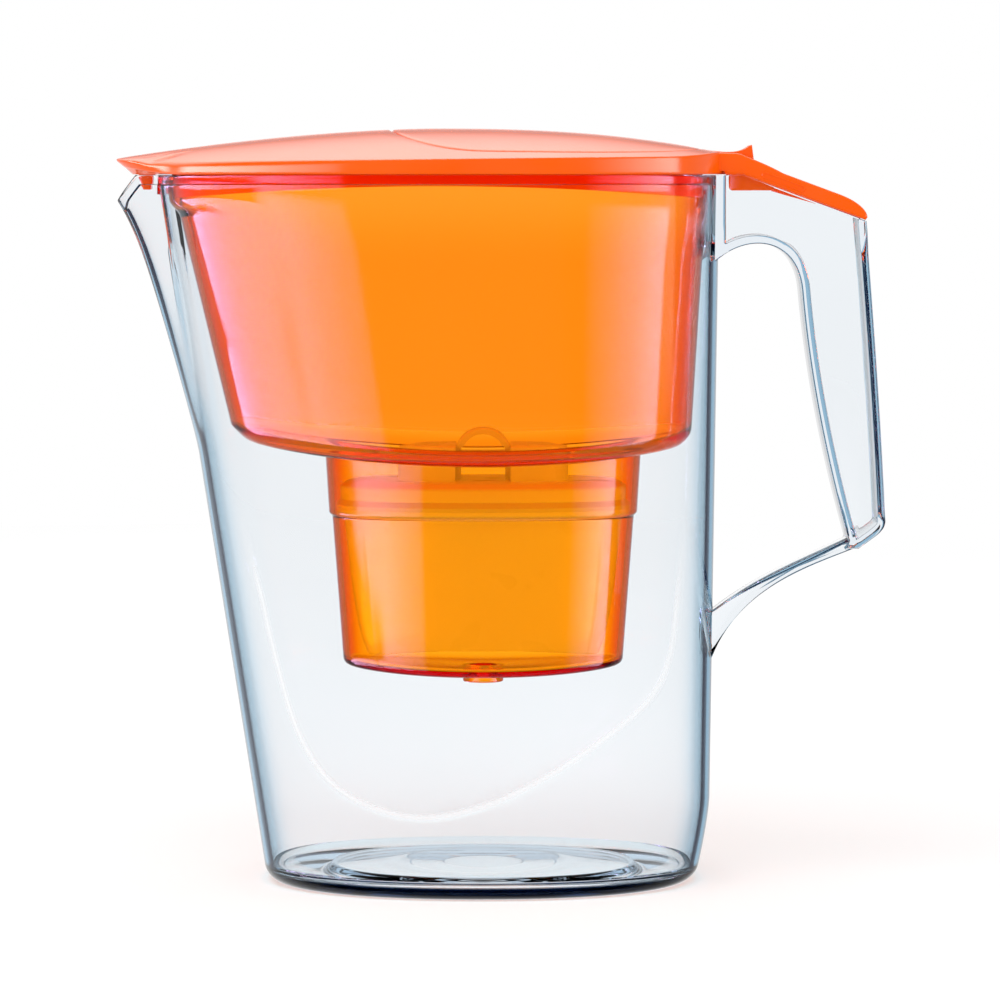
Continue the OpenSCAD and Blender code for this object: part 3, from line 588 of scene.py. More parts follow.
def strut():
    low = cubic([STRUT_END, (HEEL_X - 25.9, STRUT_H + 1.2), (jug_back(STRUT_H) + 8.5, STRUT_H - 5.6),
                 (jug_back(ROOT_LOW) - 0.1, ROOT_LOW)], 28)
    top = cubic([(root_x(ROOT_TOP), ROOT_TOP - 3), (jug_back(STRUT_H) + 13, STRUT_H - 2.4),
                 (HEEL_X - 32.9, STRUT_H + 0.9), FINGER_CORNER], 28)
    outline = [(STRUT_END[0] + 1.5, STRUT_END[1] + 1.2), *low, (root_x(ROOT_LOW), ROOT_LOW - 8), *top,
               (FINGER_CORNER[0] + 2, FINGER_CORNER[1] + 4)]
    return slab("strut", without_doubles(outline), STRUT_W, 1.3, 4)


def root_cutter():
    """What trims the handle's roots, so that they end inside the jug's wall."""
    rings = [wall_points(z, 0.7) for z in (20, 60, 100, 150, 200, 220, 232, 245)]
    return skin("roots", rings, ((0, 0, 20), (0, 0, 245)))


def jug():
    handle = cut(joined(cut(grip(), grip_core()), strut()), root_cutter())
    body = jug_body()
    add_ridge(body)
    piece = finished(joined(body, handle), "clear_jug", 30)
    mark_ridge(piece)
    return piece


# ---------- Lid ----------

LID_BASE = RIM + GAP
LID_CX = jug_centre(RIM)
LID_A = jug_half_l(RIM) + LID_OVER
LID_B = jug_half_w(RIM) + LID_OVER
PIVOT_X = jug_back(RIM) + 0.4
PIVOT_H = RIM + 4.4
FLAP_BACK_X = PIVOT_X - 6.5
FLAP_CX = FLAP_BACK_X - FLAP_BACK
COLLAR_OUT = WALL + LIFT_GAP
COLLAR_IN = COLLAR_OUT + 1.6
SKIRT_IN = COLLAR_IN + 0.3
SKIRT_T = 1.6


def ridge_h(x):
    r = np.abs(x - LID_CX) / LID_A
    return RIM + CROWN_H - 8.1 * r ** np.where(x < LID_CX, 1.7, 2.5)


def band_top_h(x):
    return RIM + BAND_H + 0.0125 * (x - LID_CX) - 0.4 + 1.4 * np.maximum(0, (x - 60) / 18) ** 1.5


def crown_h(x, y):
    """Height of the crown's top surface."""
    rx, ry = np.abs(x - LID_CX) / LID_A, np.abs(y) / LID_B
    r2 = (rx ** OVAL + ry ** OVAL) ** (2 / OVAL)
    fall = np.clip((r2 - rx * rx) / np.maximum(0.08, 1 - rx * rx), 0, 1)
    return ridge_h(x) + (band_top_h(x) - ridge_h(x)) * fall


def lid_outline(inset):
    x, y = oval(TURNS, LID_CX, LID_A - inset, LID_B - inset)
    return x - np.where(x > 0, 0, (SPOUT_REACH - 2) * nose(np.abs(y) + inset / 2)), y


def nose(y):
    """Plan shape of the lid's nose: full in the middle and flared into the oval at its sides."""
    return (1 + np.cos(np.pi * ramp(y, 6, 27.5))) / 2


def flap_outline(grow):
    length = np.where(np.cos(TURNS) > 0, FLAP_BACK, FLAP_FRONT) + grow
    return oval(TURNS, FLAP_CX, length, FLAP_W / 2 + grow)


def between(p, q, s):
    return p[0] * (1 - s) + q[0] * s, p[1] * (1 - s) + q[1] * s


def on_crown(p, down):
    return ring(p[0], p[1], crown_h(*p) - down)


def crown_ring(s, down=0.0):
    return on_crown(between(flap_outline(SEAM), lid_outline(0), s), down)


def under_ring(s):
    p = between(jug_oval(RIM, SKIRT_IN + SKIRT_T), flap_outline(-2.6), s)
    length = np.where(p[0] > FLAP_CX, FLAP_BACK, FLAP_FRONT)
    r = ((np.abs(p[0] - FLAP_CX) / length) ** OVAL + (np.abs(p[1]) / (FLAP_W / 2)) ** OVAL) ** (1 / OVAL)
    return on_crown(p, LID_T + 1.8 * (1 - ramp(r, 1.1, 1.3)))


def rim_points(z, inset):
    return ring(*jug_oval(z, inset), z)


def skirt_h(inset):
    """Height of the skirt's lower edge, deeper towards the spout and the handle."""
    return RIM - SKIRT_H - SKIRT_ARCH * ((jug_oval(RIM, inset)[0] - LID_CX) / LID_A) ** 2


def band_low_ring(inset, up, rise):
    x, y = lid_outline(inset)
    s = np.where(x > 0, 0, nose(np.abs(y)))
    return ring(x + 3.4 * s, y, LID_BASE + up + rise * s)


def lid_shell():
    rings = [(on_crown(flap_outline(SEAM), 0), 1.0)]
    rings += [crown_ring(s) for s in np.linspace(0.08, 0.94, 12)]
    rings += [(crown_ring(1, 0.1), 1.5), (band_low_ring(-0.2, 0.35, 2.1), 0.35),
              (band_low_ring(0.3, 0, 2.1), 0.2), (band_low_ring(LID_OVER + WALL / 2, 0, 0), 0.2)]
    rings += [(rim_points(z, inset), 0.3) for z, inset in (
        (LID_BASE, SKIRT_IN), (skirt_h(0), SKIRT_IN), (skirt_h(0), SKIRT_IN + SKIRT_T))]
    rings += [under_ring(s) for s in np.linspace(0, 1, 9)]
    rings += [(on_crown(flap_outline(-2.6), LID_T + GAP), 0.2), on_crown(flap_outline(SEAM), LID_T + GAP)]
    return skin("lid_shell", eased(rings, closed=True)[::-1], closed=True)


def cover_h(x):
    return grip_top_h(x) + COVER_SIDE


def cover_outline(drop=0.0):
    rise = cubic(around(PIVOT_X, RIM, (6, 6.9), (9, 5.4)) + [
        (PIVOT_X + 13, cover_h(PIVOT_X + 13) + 1.2), (PIVOT_X + 20, cover_h(PIVOT_X + 20))], 14)
    end = GRIP_TOP_X + 0.2
    tip = cubic([(GRIP_TOP_X - 9, cover_h(GRIP_TOP_X - 9)), (GRIP_TOP_X - 3, cover_h(GRIP_TOP_X - 3)),
                 (end, cover_h(GRIP_TOP_X) - 2), (end, grip_top_h(GRIP_TOP_X) + 1.2)], 14)
    low = [(GRIP_TOP_X - 0.4, grip_top_h(GRIP_TOP_X) + GAP + 0.2), (jug_back(RIM) + 7, LID_BASE),
           *around(PIVOT_X, LID_BASE, (1, 0), (0.6, 1), (-4, 1))]
    return [(x, z - drop) for x, z in (*around(PIVOT_X, RIM, (-4, 7.4), (4.6, 7.1)), *rise, *tip, *low)]


POCKET_X = PIVOT_X + 2.2
POCKET_END = PIVOT_X + 17.2
LEVER_SLOT_W = LEVER_W + 2 * SEAM


def grip_cover():
    """Cover over the grip's open top, with its pocket for the lever and a rib that centres it."""
    cover = slab("cover", without_doubles(cover_outline()), COVER_W, 0.9, 3)
    start = POCKET_END - 0.4
    cavity = [(start, cover_h(POCKET_END) - LID_T), *[p for p in cover_outline(LID_T) if p[0] > start],
              (start, grip_top_h(POCKET_END) - LID_T)]
    cut(cover, slab("cavity", without_doubles(cavity), COVER_W - 2 * LID_T, 0.8, 2))
    pocket = [(POCKET_X, RIM + 3), (POCKET_X, POCKET_H + 1), (POCKET_X + 0.4, POCKET_H + 0.4),
              (POCKET_X + 1, POCKET_H), (POCKET_END - 0.6, POCKET_H), (POCKET_END, POCKET_H + 0.6),
              (POCKET_END, RIM - 1), (POCKET_X + 4, RIM + 3)]
    end = GRIP_TOP_X - 16
    rib = [(POCKET_END - 0.6, RIM - 5.6), (end, RIM - 9.8), (end, grip_top_h(end) + 2.6),
           (POCKET_END - 0.6, grip_top_h(POCKET_END) + 2.6)]
    return joined(cover, slab("pocket", pocket, LEVER_SLOT_W + 2.8, 0.5, 2), slab("rib", rib, 1.6, 0.3, 2),
                  outline_bead())


def outline_bead():
    """Fine raised outline, long and round-ended, on both sides of the cover."""
    def pill(r):
        a = np.linspace(-math.pi / 2, math.pi / 2, 9)
        x = np.concatenate([104.5 + r * np.cos(a), 92.5 - r * np.cos(a)])
        z = np.concatenate([229.6 + r * np.sin(a), 234 - r * np.sin(a)])
        return np.stack([x, z], axis=-1)
    return cut(slab("bead", pill(1.25), COVER_W + 0.5, 0.2, 2), slab("bead_hole", pill(0.7), 40))


def lever_slot():
    end = PIVOT_X + 13
    return slab("slot", [
        (FLAP_BACK_X - 4, RIM + 30), (FLAP_BACK_X - 4, LID_BASE - 1), (POCKET_X + 1.4, LID_BASE - 1),
        (POCKET_X + 1.4, POCKET_H + 1.4), (POCKET_END - 1.4, POCKET_H + 1.4), (POCKET_END - 1.4, RIM - 2),
        (end, RIM + 0.4), (end, RIM + 30)], LEVER_SLOT_W)


LATCH_L, LATCH_W, LATCH_H = 8.0, 16.0, 6.3
LATCH_X = jug_front(RIM) + 1.7


def box_outline(x0, x1, z0, z1):
    return [(x0, z0), (x1, z0), (x1, z1), (x0, z1)]


def lid():
    tab = slab("tab", around(LID_CX - LID_A, RIM, (-4.6, 3), (-3.6, -1), (-1.8, -4.8), (0.4, -4.8), (1.4, 3)),
               10, 0.4, 2)
    piece = joined(lid_shell(), tab, grip_cover())
    low = RIM - SKIRT_H - SKIRT_ARCH - 1
    notch = slab("notch", box_outline(LATCH_X - LIFT_GAP, LATCH_X + LATCH_L + LIFT_GAP, low, LID_BASE + 0.5),
                 LATCH_W + 2 * SEAM)
    cut(piece, lever_slot(), notch)
    joined(piece, *[rod("ear", PIVOT_X, PIVOT_H, STUB_R + 1.4, 4, side * (LEVER_SLOT_W / 2 + 2))
                    for side in (-1, 1)])
    cut(piece, rod("hole", PIVOT_X, PIVOT_H, STUB_R + STUB_PLAY, LEVER_SLOT_W + 6, bevel=0))
    return finished(piece, "lid_moulding")


def flap():
    """Filling flap with its thumb lever and pivot stubs."""
    def part(s, down):
        return on_crown(between((np.full(len(TURNS), FLAP_CX), np.zeros(len(TURNS))), flap_outline(0), s), down)
    steps = np.linspace(0.12, 0.94, 10)
    rings = [part(s, LID_T) for s in steps]
    rings += [(part(0.997, LID_T), 0.4), (part(1, 0.1), 1.2)]
    rings += [part(s, 0) for s in steps[::-1]]
    top = crown_h(FLAP_CX, 0)
    piece = skin("flap", eased(rings), ((FLAP_CX, 0, top - LID_T), (FLAP_CX, 0, top)))
    fin_x, fin_h, arm_x = PIVOT_X + 10, RIM + 9.9, FLAP_BACK_X - 8
    hollow_top = cubic(around(fin_x, fin_h, (-0.8, -0.2), (-3.4, -2.3), (-6.5, -2.9))
                       + [(FLAP_BACK_X + 1, crown_h(FLAP_BACK_X + 1, 0) - 0.15)], 12)
    outline = [(arm_x, crown_h(arm_x, 0) - LID_T + 0.2),
               *around(PIVOT_X, PIVOT_H, (-2, -2), (0, -2.4), (2.2, -1.9)),
               *around(fin_x, PIVOT_H, (-3, -0.8), (0.7, 0.2)), (fin_x, fin_h), *hollow_top,
               (arm_x, crown_h(arm_x, 0) - 0.6)]
    joined(piece, slab("lever", without_doubles(outline), LEVER_W, 0.4, 3),
           rod("stubs", PIVOT_X, PIVOT_H, STUB_R, LEVER_W + 5.2))
    return finished(piece, "filling_flap")


# ---------- Funnel ----------

COLLAR_LOW = RIM - 12


def funnel_oval(z, inset):
    front = -(100.3 - 0.241 * (COLLAR_LOW - z))
    back = 73.4 - 0.06 * (COLLAR_LOW - z)
    half = jug_half_w(COLLAR_LOW) - WALL - 1.7 - 0.06 * (COLLAR_LOW - z)
    return oval(TURNS, (front + back) / 2, (back - front) / 2 - inset, half - inset)


def funnel_ring(z, inset):
    return ring(*funnel_oval(z, inset), z)


def collar_to_wall(collar_inset, wall_inset):
    """Rings that ease the collar into the leaning wall below it."""
    top = skirt_h(collar_inset) - 0.8
    low = 204 + 16.5 * ramp(-funnel_oval(COLLAR_LOW, 0)[0], 55, 88)
    out = []
    for s in np.linspace(0, 1, 9):
        z = top + (low - top) * s
        share = s * s * (3 - 2 * s)
        out.append(rim_points(z, collar_inset) * (1 - share) + funnel_ring(z, wall_inset) * share)
    return out


def bowed(oval_points, h, radius):
    """A ring that rises towards its ends as a circle of this radius does."""
    x, y = oval_points
    return ring(x, y, h + x * x / (2 * radius))


def floor_ring(h, inset):
    return bowed(funnel_oval(FLOOR_H + h + 5, inset), FLOOR_H + h, FLOOR_SAG)


def cup_oval(z, inset):
    a = CUP_A - CUP_LEAN * (FLOOR_H - z) - (1 if z < CUP_STEP_H else 0)
    return oval(TURNS, 0, a - inset, a - CUP_SLIM - inset, CUP_POWER)


def cup_ring(z, inset):
    return ring(*cup_oval(z, inset), z)


def cup_top_ring(h, inset):
    return bowed(cup_oval(FLOOR_H, inset), FLOOR_H + h, FLOOR_SAG)


def cup_low_ring(h, inset):
    return bowed(cup_oval(CUP_BOTTOM_H + CUP_ROUND, inset), CUP_BOTTOM_H + h, CUP_SAG)


def funnel():
    lip_out = WALL / 2 + GAP + 0.1
    ledge_top = RIM - LEDGE + GAP
    rings = [
        # outside, from the lip down
        (rim_points(RIM, lip_out), 0.3), (rim_points(ledge_top, lip_out), 0.2),
        (rim_points(ledge_top, COLLAR_OUT), 0.3)] + collar_to_wall(COLLAR_OUT, 0) + [
        funnel_ring(180, 0), funnel_ring(FLOOR_H + 12, 0),
        (floor_ring(3.4, 0.1), 2.4), (floor_ring(0, 3.6), 2.4),
        # cup outside
        (cup_top_ring(0, 0), 0.9), (cup_ring(CUP_STEP_H + 0.6, 0), 0.5), (cup_ring(CUP_STEP_H - 0.4, 0), 0.4),
        cup_low_ring(CUP_ROUND, 0), (cup_low_ring(0, 0.3), 3.6), cup_low_ring(0, CUP_ROUND + 1),
        (disc_points(NOZZLE_R, CUP_BOTTOM_H), 0.4), (disc_points(NOZZLE_R, CUP_BOTTOM_H - 3.5), 0.4),
        (disc_points(BORE_R, CUP_BOTTOM_H - 3.5), 0.3),
        # cup inside
        (disc_points(BORE_R, CUP_BOTTOM_H + 2), 0.4), cup_low_ring(2, CUP_ROUND + 1),
        (cup_low_ring(2, FUNNEL_WALL + 0.2), 2.0), cup_low_ring(CUP_ROUND + 1, FUNNEL_WALL),
        (cup_ring(CUP_STEP_H - 0.4, FUNNEL_WALL), 0.4), (cup_ring(CUP_STEP_H + 0.4, FUNNEL_WALL), 0.5),
        (cup_top_ring(2, FUNNEL_WALL), 0.9),
        # funnel inside
        (floor_ring(FUNNEL_WALL, 5.6), 1.8), (floor_ring(5.4, FUNNEL_WALL), 1.6),
        funnel_ring(FLOOR_H + 14, FUNNEL_WALL), funnel_ring(180, FUNNEL_WALL)]
    rings += collar_to_wall(COLLAR_IN, FUNNEL_WALL)[::-1] + [
        (rim_points(RIM, COLLAR_IN), 0.3)]
    piece = skin("funnel_body", eased(rings, closed=True)[::-1], closed=True)
    block = slab("latch", box_outline(LATCH_X, LATCH_X + LATCH_L, RIM - LATCH_H, RIM - 0.1), LATCH_W, 0.5, 2)
    slot = box_outline(LATCH_X + 2.6, LATCH_X + 5.8, RIM - LATCH_H + 2.2, RIM + 2)
    return finished(cut(joined(piece, block), slab("latch_slot", slot, LATCH_W - 4)), "funnel_with_cup")


# ---------- Cartridge ----------

SEAT_H = CUP_STEP_H + 0.8
SEAT_A = CUP_A - CUP_LEAN * (FLOOR_H - CUP_STEP_H - 1) - FUNNEL_WALL - 0.35
CART_TOP = SEAT_H + 8.6
PLATE_H = CART_TOP + 2.4
BODY_A, FOOT_A = 46.0, 38.0
CART_TURNS = np.linspace(0, 2 * np.pi, 168, endpoint=False)


def cart_ring(a, z):
    return ring(*oval(CART_TURNS, 0, a, a - CUP_SLIM, CUP_POWER), z)


def body_a(z):
    return FOOT_A + (BODY_A - FOOT_A) * ramp(z, CART_BOTTOM_H, CUP_STEP_H) ** 0.55


def body_heights(low, top):
    return low + (top - low) * (np.arange(15) / 14) ** 1.5


def arched(a, up):
    """The bottom edge of the cartridge, a little higher in the middle of its long sides."""
    rim = cart_ring(a, 0)
    rim[:, 2] = CART_BOTTOM_H - 1.6 + up + 2.6 * (1 - (rim[:, 0] / FOOT_A) ** 2)
    return rim


def cartridge_shell():
    w = CART_WALL
    outside = [arched(FOOT_A - 6, 0), (arched(FOOT_A, 0), 0.8)]
    outside += [cart_ring(body_a(z), z) for z in body_heights(CART_BOTTOM_H, CUP_STEP_H - 1)[1:]]
    flange = [(cart_ring(BODY_A, SEAT_H), 0.6), (cart_ring(SEAT_A, SEAT_H), 0.4),
              (cart_ring(SEAT_A, SEAT_H + 1.6), 0.2), cart_ring(SEAT_A - 2.2, SEAT_H + 1.6),
              cart_ring(SEAT_A - 2.2, SEAT_H + 4.6), (cart_ring(SEAT_A - 1.4, SEAT_H + 4.6), 0.2),
              (cart_ring(SEAT_A - 1.4, CART_TOP), 0.2), (cart_ring(BODY_A - w, CART_TOP), 0.2)]
    inside = [cart_ring(body_a(z) - w, z) for z in body_heights(CART_BOTTOM_H + 4, CUP_STEP_H - 1)[::-1]]
    inside += [cart_ring(FOOT_A - w, CART_BOTTOM_H + w), cart_ring(FOOT_A - 6, CART_BOTTOM_H + w)]
    piece = skin("cartridge_shell_moulding", eased(outside + flange + inside),
                 ((0, 0, CART_BOTTOM_H + 1), (0, 0, CART_BOTTOM_H + w)))
    return finished(cut(piece, outlet_hole_cutters()), "cartridge_body")


def humps():
    """The two humps of the cartridge's cover, hollow and parted by the channel under the pull loop."""
    def dome(h, inset):
        return ring(*oval(CART_TURNS, 0, 28 - inset, 17 - inset, 3), PLATE_H + h)

    def solid(name, inset, low):
        rings = [dome(low, inset)]
        rings += [dome(7.5 + 4.2 * math.sin(a) - inset, inset + 7 * (1 - math.cos(a)))
                  for a in np.radians(np.arange(0, 91, 10))]
        return skin(name, rings, ((0, 0, PLATE_H + low), (0, 0, PLATE_H + 11.7 - inset)))
    channel = slab("channel", box_outline(-9, 9, PLATE_H - 2, PLATE_H + 15), 70)
    return cut(solid("humps", 0, -0.6), solid("void", 1.4, -1.2), channel, hump_slot_cutters())


def pull_loop():
    def arch(name, r, low, width, bevel):
        arc = [(r * math.cos(a), PLATE_H + 7.4 + r * math.sin(a)) for a in np.linspace(0, math.pi, 33)]
        return slab(name, [(r, PLATE_H + low), *arc, (-r, PLATE_H + low)], width, bevel, 3)
    return cut(arch("loop", 9.5, -0.6, 9, 0.7), arch("loop_hole", 7.3, -1.6, 12, 0))


def cartridge_cover():
    neck = SEAT_A - 1.4
    rings = [cart_ring(neck, CART_TOP), (cart_ring(neck - 0.2, CART_TOP + 0.5), 0.3),
             (cart_ring(neck - 2.4, CART_TOP + 1.9), 0.8), cart_ring(neck - 5, PLATE_H)]
    piece = skin("cover_plate", eased(rings), ((0, 0, CART_TOP), (0, 0, PLATE_H)))
    return finished(joined(piece, humps(), pull_loop()), "cartridge_cap")


# ---------- What repeats, by geometry nodes ----------


def feed(node, inputs):
    """Sets a node's inputs, by name or number, or links them where the value is another node's output."""
    for key, value in inputs.items():
        socket = node.inputs[key]
        if isinstance(value, bpy.types.NodeSocket):
            node.id_data.links.new(value, socket)
        else:
            socket.default_value = value
    return node


def add_node(tree, kind, inputs=None, **settings):
    """A new node with its settings and inputs. The kind of a shader node is given without its prefix."""
    node = tree.nodes.new(kind if "Node" in kind else "ShaderNode" + kind)
    for key, value in settings.items():
        setattr(node, key, value)
    return feed(node, inputs or {})


def number(operation, *values):
    """The result of a maths node. At least one of its values is another node's output."""
    tree = next(v.id_data for v in values if isinstance(v, bpy.types.NodeSocket))
    return add_node(tree, "Math", dict(enumerate(values)), operation=operation).outputs[0]


def times(first, *others):
    for other in others:
        first = number("MULTIPLY", first, other)
    return first


def grown(name, sizes, shape, material=None):
    """A piece made by geometry nodes that have named inputs for its sizes, in metres."""
    tree = bpy.data.node_groups.new(name, "GeometryNodeTree")
    for label, value in sizes.items():
        tree.interface.new_socket(label, in_out="INPUT", socket_type="NodeSocketFloat").default_value = value
    tree.interface.new_socket("Material", in_out="INPUT", socket_type="NodeSocketMaterial")
    tree.interface.new_socket("Geometry", in_out="OUTPUT", socket_type="NodeSocketGeometry")
    given = tree.nodes.new("NodeGroupInput").outputs
    solid = add_node(tree, "GeometryNodeRealizeInstances", {"Geometry": shape(tree, given)}).outputs[0]
    dressed = add_node(tree, "GeometryNodeSetMaterial", {"Geometry": solid, "Material": given["Material"]})
    add_node(tree, "NodeGroupOutput", {"Geometry": dressed.outputs[0]})
    holder = add_object(name, bpy.data.meshes.new(name))
    modifier = holder.modifiers.new("grow", "NODES")
    modifier.node_group = tree
    for item in tree.interface.items_tree:
        if item.item_type == "SOCKET" and item.name == "Material" and material:
            modifier[item.identifier] = material
    evaluate(holder)
    return holder


def hole_grid(name, height, pitch, counts, cutter, sizes):
    """Cutters on a grid about the middle."""
    def shape(tree, given):
        grid = add_node(tree, "GeometryNodeMeshGrid", {
            "Size X": pitch[0] * (counts[0] - 1) * MM, "Size Y": pitch[1] * (counts[1] - 1) * MM,
            "Vertices X": counts[0], "Vertices Y": counts[1]})
        moved = add_node(tree, "GeometryNodeTransform", {
            "Geometry": grid.outputs["Mesh"], "Translation": (0, 0, height * MM)})
        return add_node(tree, "GeometryNodeInstanceOnPoints", {
            "Points": moved.outputs["Geometry"], "Instance": cutter(tree, given).outputs["Mesh"]}).outputs[0]
    return grown(name, sizes, shape)


def outlet_hole_cutters():
    def pin(tree, sizes):
        return add_node(tree, "GeometryNodeMeshCylinder", {
            "Vertices": 24, "Radius": sizes["Hole radius"], "Depth": sizes["Depth"]})
    return hole_grid("outlet_holes", CART_BOTTOM_H + CART_WALL / 2, (9, 7), (5, 3), pin,
                     {"Hole radius": 1.8 * MM, "Depth": 4 * MM})


def hump_slot_cutters():
    def blade(tree, sizes):
        size = add_node(tree, "CombineXYZ", {
            "X": sizes["Slot length"], "Y": sizes["Slot width"], "Z": 11.7 * MM})
        return add_node(tree, "GeometryNodeMeshCube", {"Size": size.outputs[0]})
    return hole_grid("hump_slots", PLATE_H + 6.85, (37, 5), (2, 5), blade,
                     {"Slot length": 8 * MM, "Slot width": 1.4 * MM})


def weave(name, a, z):
    """Woven oval mesh: two layers of wires, each as long as the oval is there, inside a rim."""
    pitch, thickness, b = 1.7, 0.8, a - CUP_SLIM

    def layer(tree, sizes, long, across, turn, level):
        count = int(2 * (across - 0.8) / pitch) + 1
        line = add_node(tree, "GeometryNodeMeshLine", {
            "Count": count, "Start Location": (0, -(count - 1) * pitch / 2 * MM, 0),
            "Offset": (0, pitch * MM, 0)})
        place = add_node(tree, "GeometryNodeInputPosition").outputs[0]
        y = add_node(tree, "SeparateXYZ", {"Vector": place}).outputs["Y"]
        share = number("DIVIDE", number("ABSOLUTE", y), across * MM)
        left = number("SUBTRACT", 1.0, number("POWER", share, CUP_POWER))
        scale = add_node(tree, "CombineXYZ", {"X": number("POWER", left, 1 / CUP_POWER), "Y": 1.0, "Z": 1.0})
        size = add_node(tree, "CombineXYZ", {
            "X": 2 * (long - 0.3) * MM, "Y": sizes["Wire"], "Z": thickness * 0.45 * MM})
        bar = add_node(tree, "GeometryNodeMeshCube", {"Size": size.outputs[0]})
        wires = add_node(tree, "GeometryNodeInstanceOnPoints", {
            "Points": line.outputs["Mesh"], "Instance": bar.outputs["Mesh"], "Scale": scale.outputs[0]})
        return add_node(tree, "GeometryNodeTransform", {
            "Geometry": wires.outputs["Instances"], "Rotation": (0, 0, turn),
            "Translation": (0, 0, (z + thickness * level) * MM)}).outputs[0]

    def both(tree, sizes):
        join = add_node(tree, "GeometryNodeJoinGeometry")
        for way in ((a, b, 0.0, 0.3), (b, a, math.pi / 2, 0.7)):
            tree.links.new(layer(tree, sizes, *way), join.inputs[0])
        return join.outputs[0]
    wires = grown(name + "_wires", {"Pitch": pitch * MM, "Wire": 0.5 * MM}, both, mesh_white)
    rim = [(cart_ring(a - inset, z + up), 0.15)
           for inset, up in ((1.2, 0), (0, 0), (0, thickness), (1.2, thickness))]
    piece = skin(name, eased(rim, closed=True, steps=2), closed=True)
    piece.data.materials.append(mesh_white)
    with edited(piece.data) as bm:
        bm.from_mesh(wires.data)
    bpy.data.objects.remove(wires)
    return piece


# ---------- Finishes ----------


def new_material(name):
    material = bpy.data.materials.new(name)
    material.use_nodes = True
    return material, material.node_tree, material.node_tree.nodes["Principled BSDF"]


def step(value, low, high, start=0.0, end=1.0, curve="LINEAR"):
    """A number that goes from start to end as value goes from low to high."""
    return add_node(value.id_data, "MapRange", {
        "Value": value, "From Min": low, "From Max": high, "To Min": start, "To Max": end},
        interpolation_type=curve).outputs["Result"]


def blended(factor, first, second):
    """A colour between two others, each an output or plain."""
    node = add_node(factor.id_data, "Mix", {"Factor": factor}, data_type="RGBA")
    for key, colour in (("A", first), ("B", second)):
        feed(node, {key: colour if isinstance(colour, bpy.types.NodeSocket) else (*colour, 1)})
    return next(o for o in node.outputs if o.type == "RGBA")


def place_in(tree):
    return add_node(tree, "TexCoord").outputs["Object"]


def height_in(tree):
    return add_node(tree, "SeparateXYZ", {"Vector": place_in(tree)}).outputs["Z"]


def noise(tree, scale, detail=2.0):
    return add_node(tree, "TexNoise", {
        "Vector": place_in(tree), "Scale": scale, "Detail": detail}).outputs["Fac"]


def vary(source, low, high):
    """A number that drifts between low and high with a noise."""
    return step(source, 0.35, 0.65, low, high)


def shade(source, dark, light):
    """A colour that drifts between two close shades with a noise."""
    return blended(vary(source, 0, 1), dark, light)


def bumped(height, strength, distance, **settings):
    return add_node(height.id_data, "Bump", {
        "Height": height, "Strength": strength, "Distance": distance}, **settings).outputs["Normal"]


def moulded(name, dark, light, rough, coat, grain=0.02, grain_scale=900):
    """Moulded plastic: a slightly uneven colour and gloss, and a fine skin."""
    material, tree, shader = new_material(name)
    feed(shader, {
        "Base Color": shade(noise(tree, 22), dark, light),
        "Roughness": vary(noise(tree, 60), rough * 0.85, rough * 1.15),
        "Coat Weight": coat, "Coat Roughness": 0.04,
        "Normal": bumped(noise(tree, grain_scale, 1), grain, 0.0002)})
    return material


def painted_edge_shade(tree, plain, edge, rim, reach, foot):
    """Painted edge shade: where an upright wall is seen along its face the colour deepens towards the edge
    colour, partly as in thick clear plastic and partly as painted shade, and towards the rim colour, a painted
    dark edge line; the same painted dark line lies on the rounding under the foot."""
    facing = add_node(tree, "LayerWeight", {"Blend": 0.5}).outputs["Facing"]
    normal = add_node(tree, "NewGeometry").outputs["Normal"]
    tilt = add_node(tree, "SeparateXYZ", {"Vector": normal}).outputs["Z"]
    depth = add_node(tree, "LightPath").outputs["Diffuse Depth"]
    unlit = number("LESS_THAN", depth, 0.5)
    upright = times(step(tilt, 0.6, 0.3), unlit)
    # Edge colour at grazing faces: partly the deeper tint of a long path through the wall, partly painted
    # shade.
    soft = times(step(facing, *reach, curve="SMOOTHSTEP"), upright)
    # Painted shade: the near-black rim colour as a dark line along the edges.
    painted_dark_rim_mask = times(step(facing, 0.8, 0.92), upright)
    if foot:
        # Painted shade: a dark line on the rounding under the foot.
        rounding = times(step(tilt, -0.2, -0.65), step(tilt, -0.99, -0.93), unlit)
        low = step(height_in(tree), foot + 0.0005, foot)
        painted_dark_rim_mask = number("MAXIMUM", painted_dark_rim_mask, times(rounding, low))
    return blended(painted_dark_rim_mask, blended(soft, plain, edge), rim)


def clear(name, tint, edge, rim, reach, absorbed, density, rough, shine, upper=None, foot=None):
    """See-through plastic with real walls: it takes its depth of colour from how far light runs inside it, and
    its edges carry painted shade.
    """
    material, tree, shader = new_material(name)
    slow = noise(tree, 12)
    plain = shade(slow, tuple(c * 0.99 for c in tint), tint)
    if upper:
        plain = blended(step(height_in(tree), (FLOOR_H - 4) * MM, (FLOOR_H + 6) * MM), plain, upper)
    feed(shader, {
        "Transmission Weight": 1.0, "IOR": 1.5, "Specular Tint": (shine, shine, shine, 1),
        "Base Color": painted_edge_shade(tree, plain, edge, rim, reach, foot),
        "Roughness": vary(slow, rough * 0.8, rough * 1.2),
        "Normal": bumped(noise(tree, 18, 0), 0.02, 0.001)})
    inside = add_node(tree, "VolumeAbsorption", {"Color": (*absorbed, 1), "Density": density})
    feed(tree.nodes["Material Output"], {"Volume": inside.outputs["Volume"]})
    return material


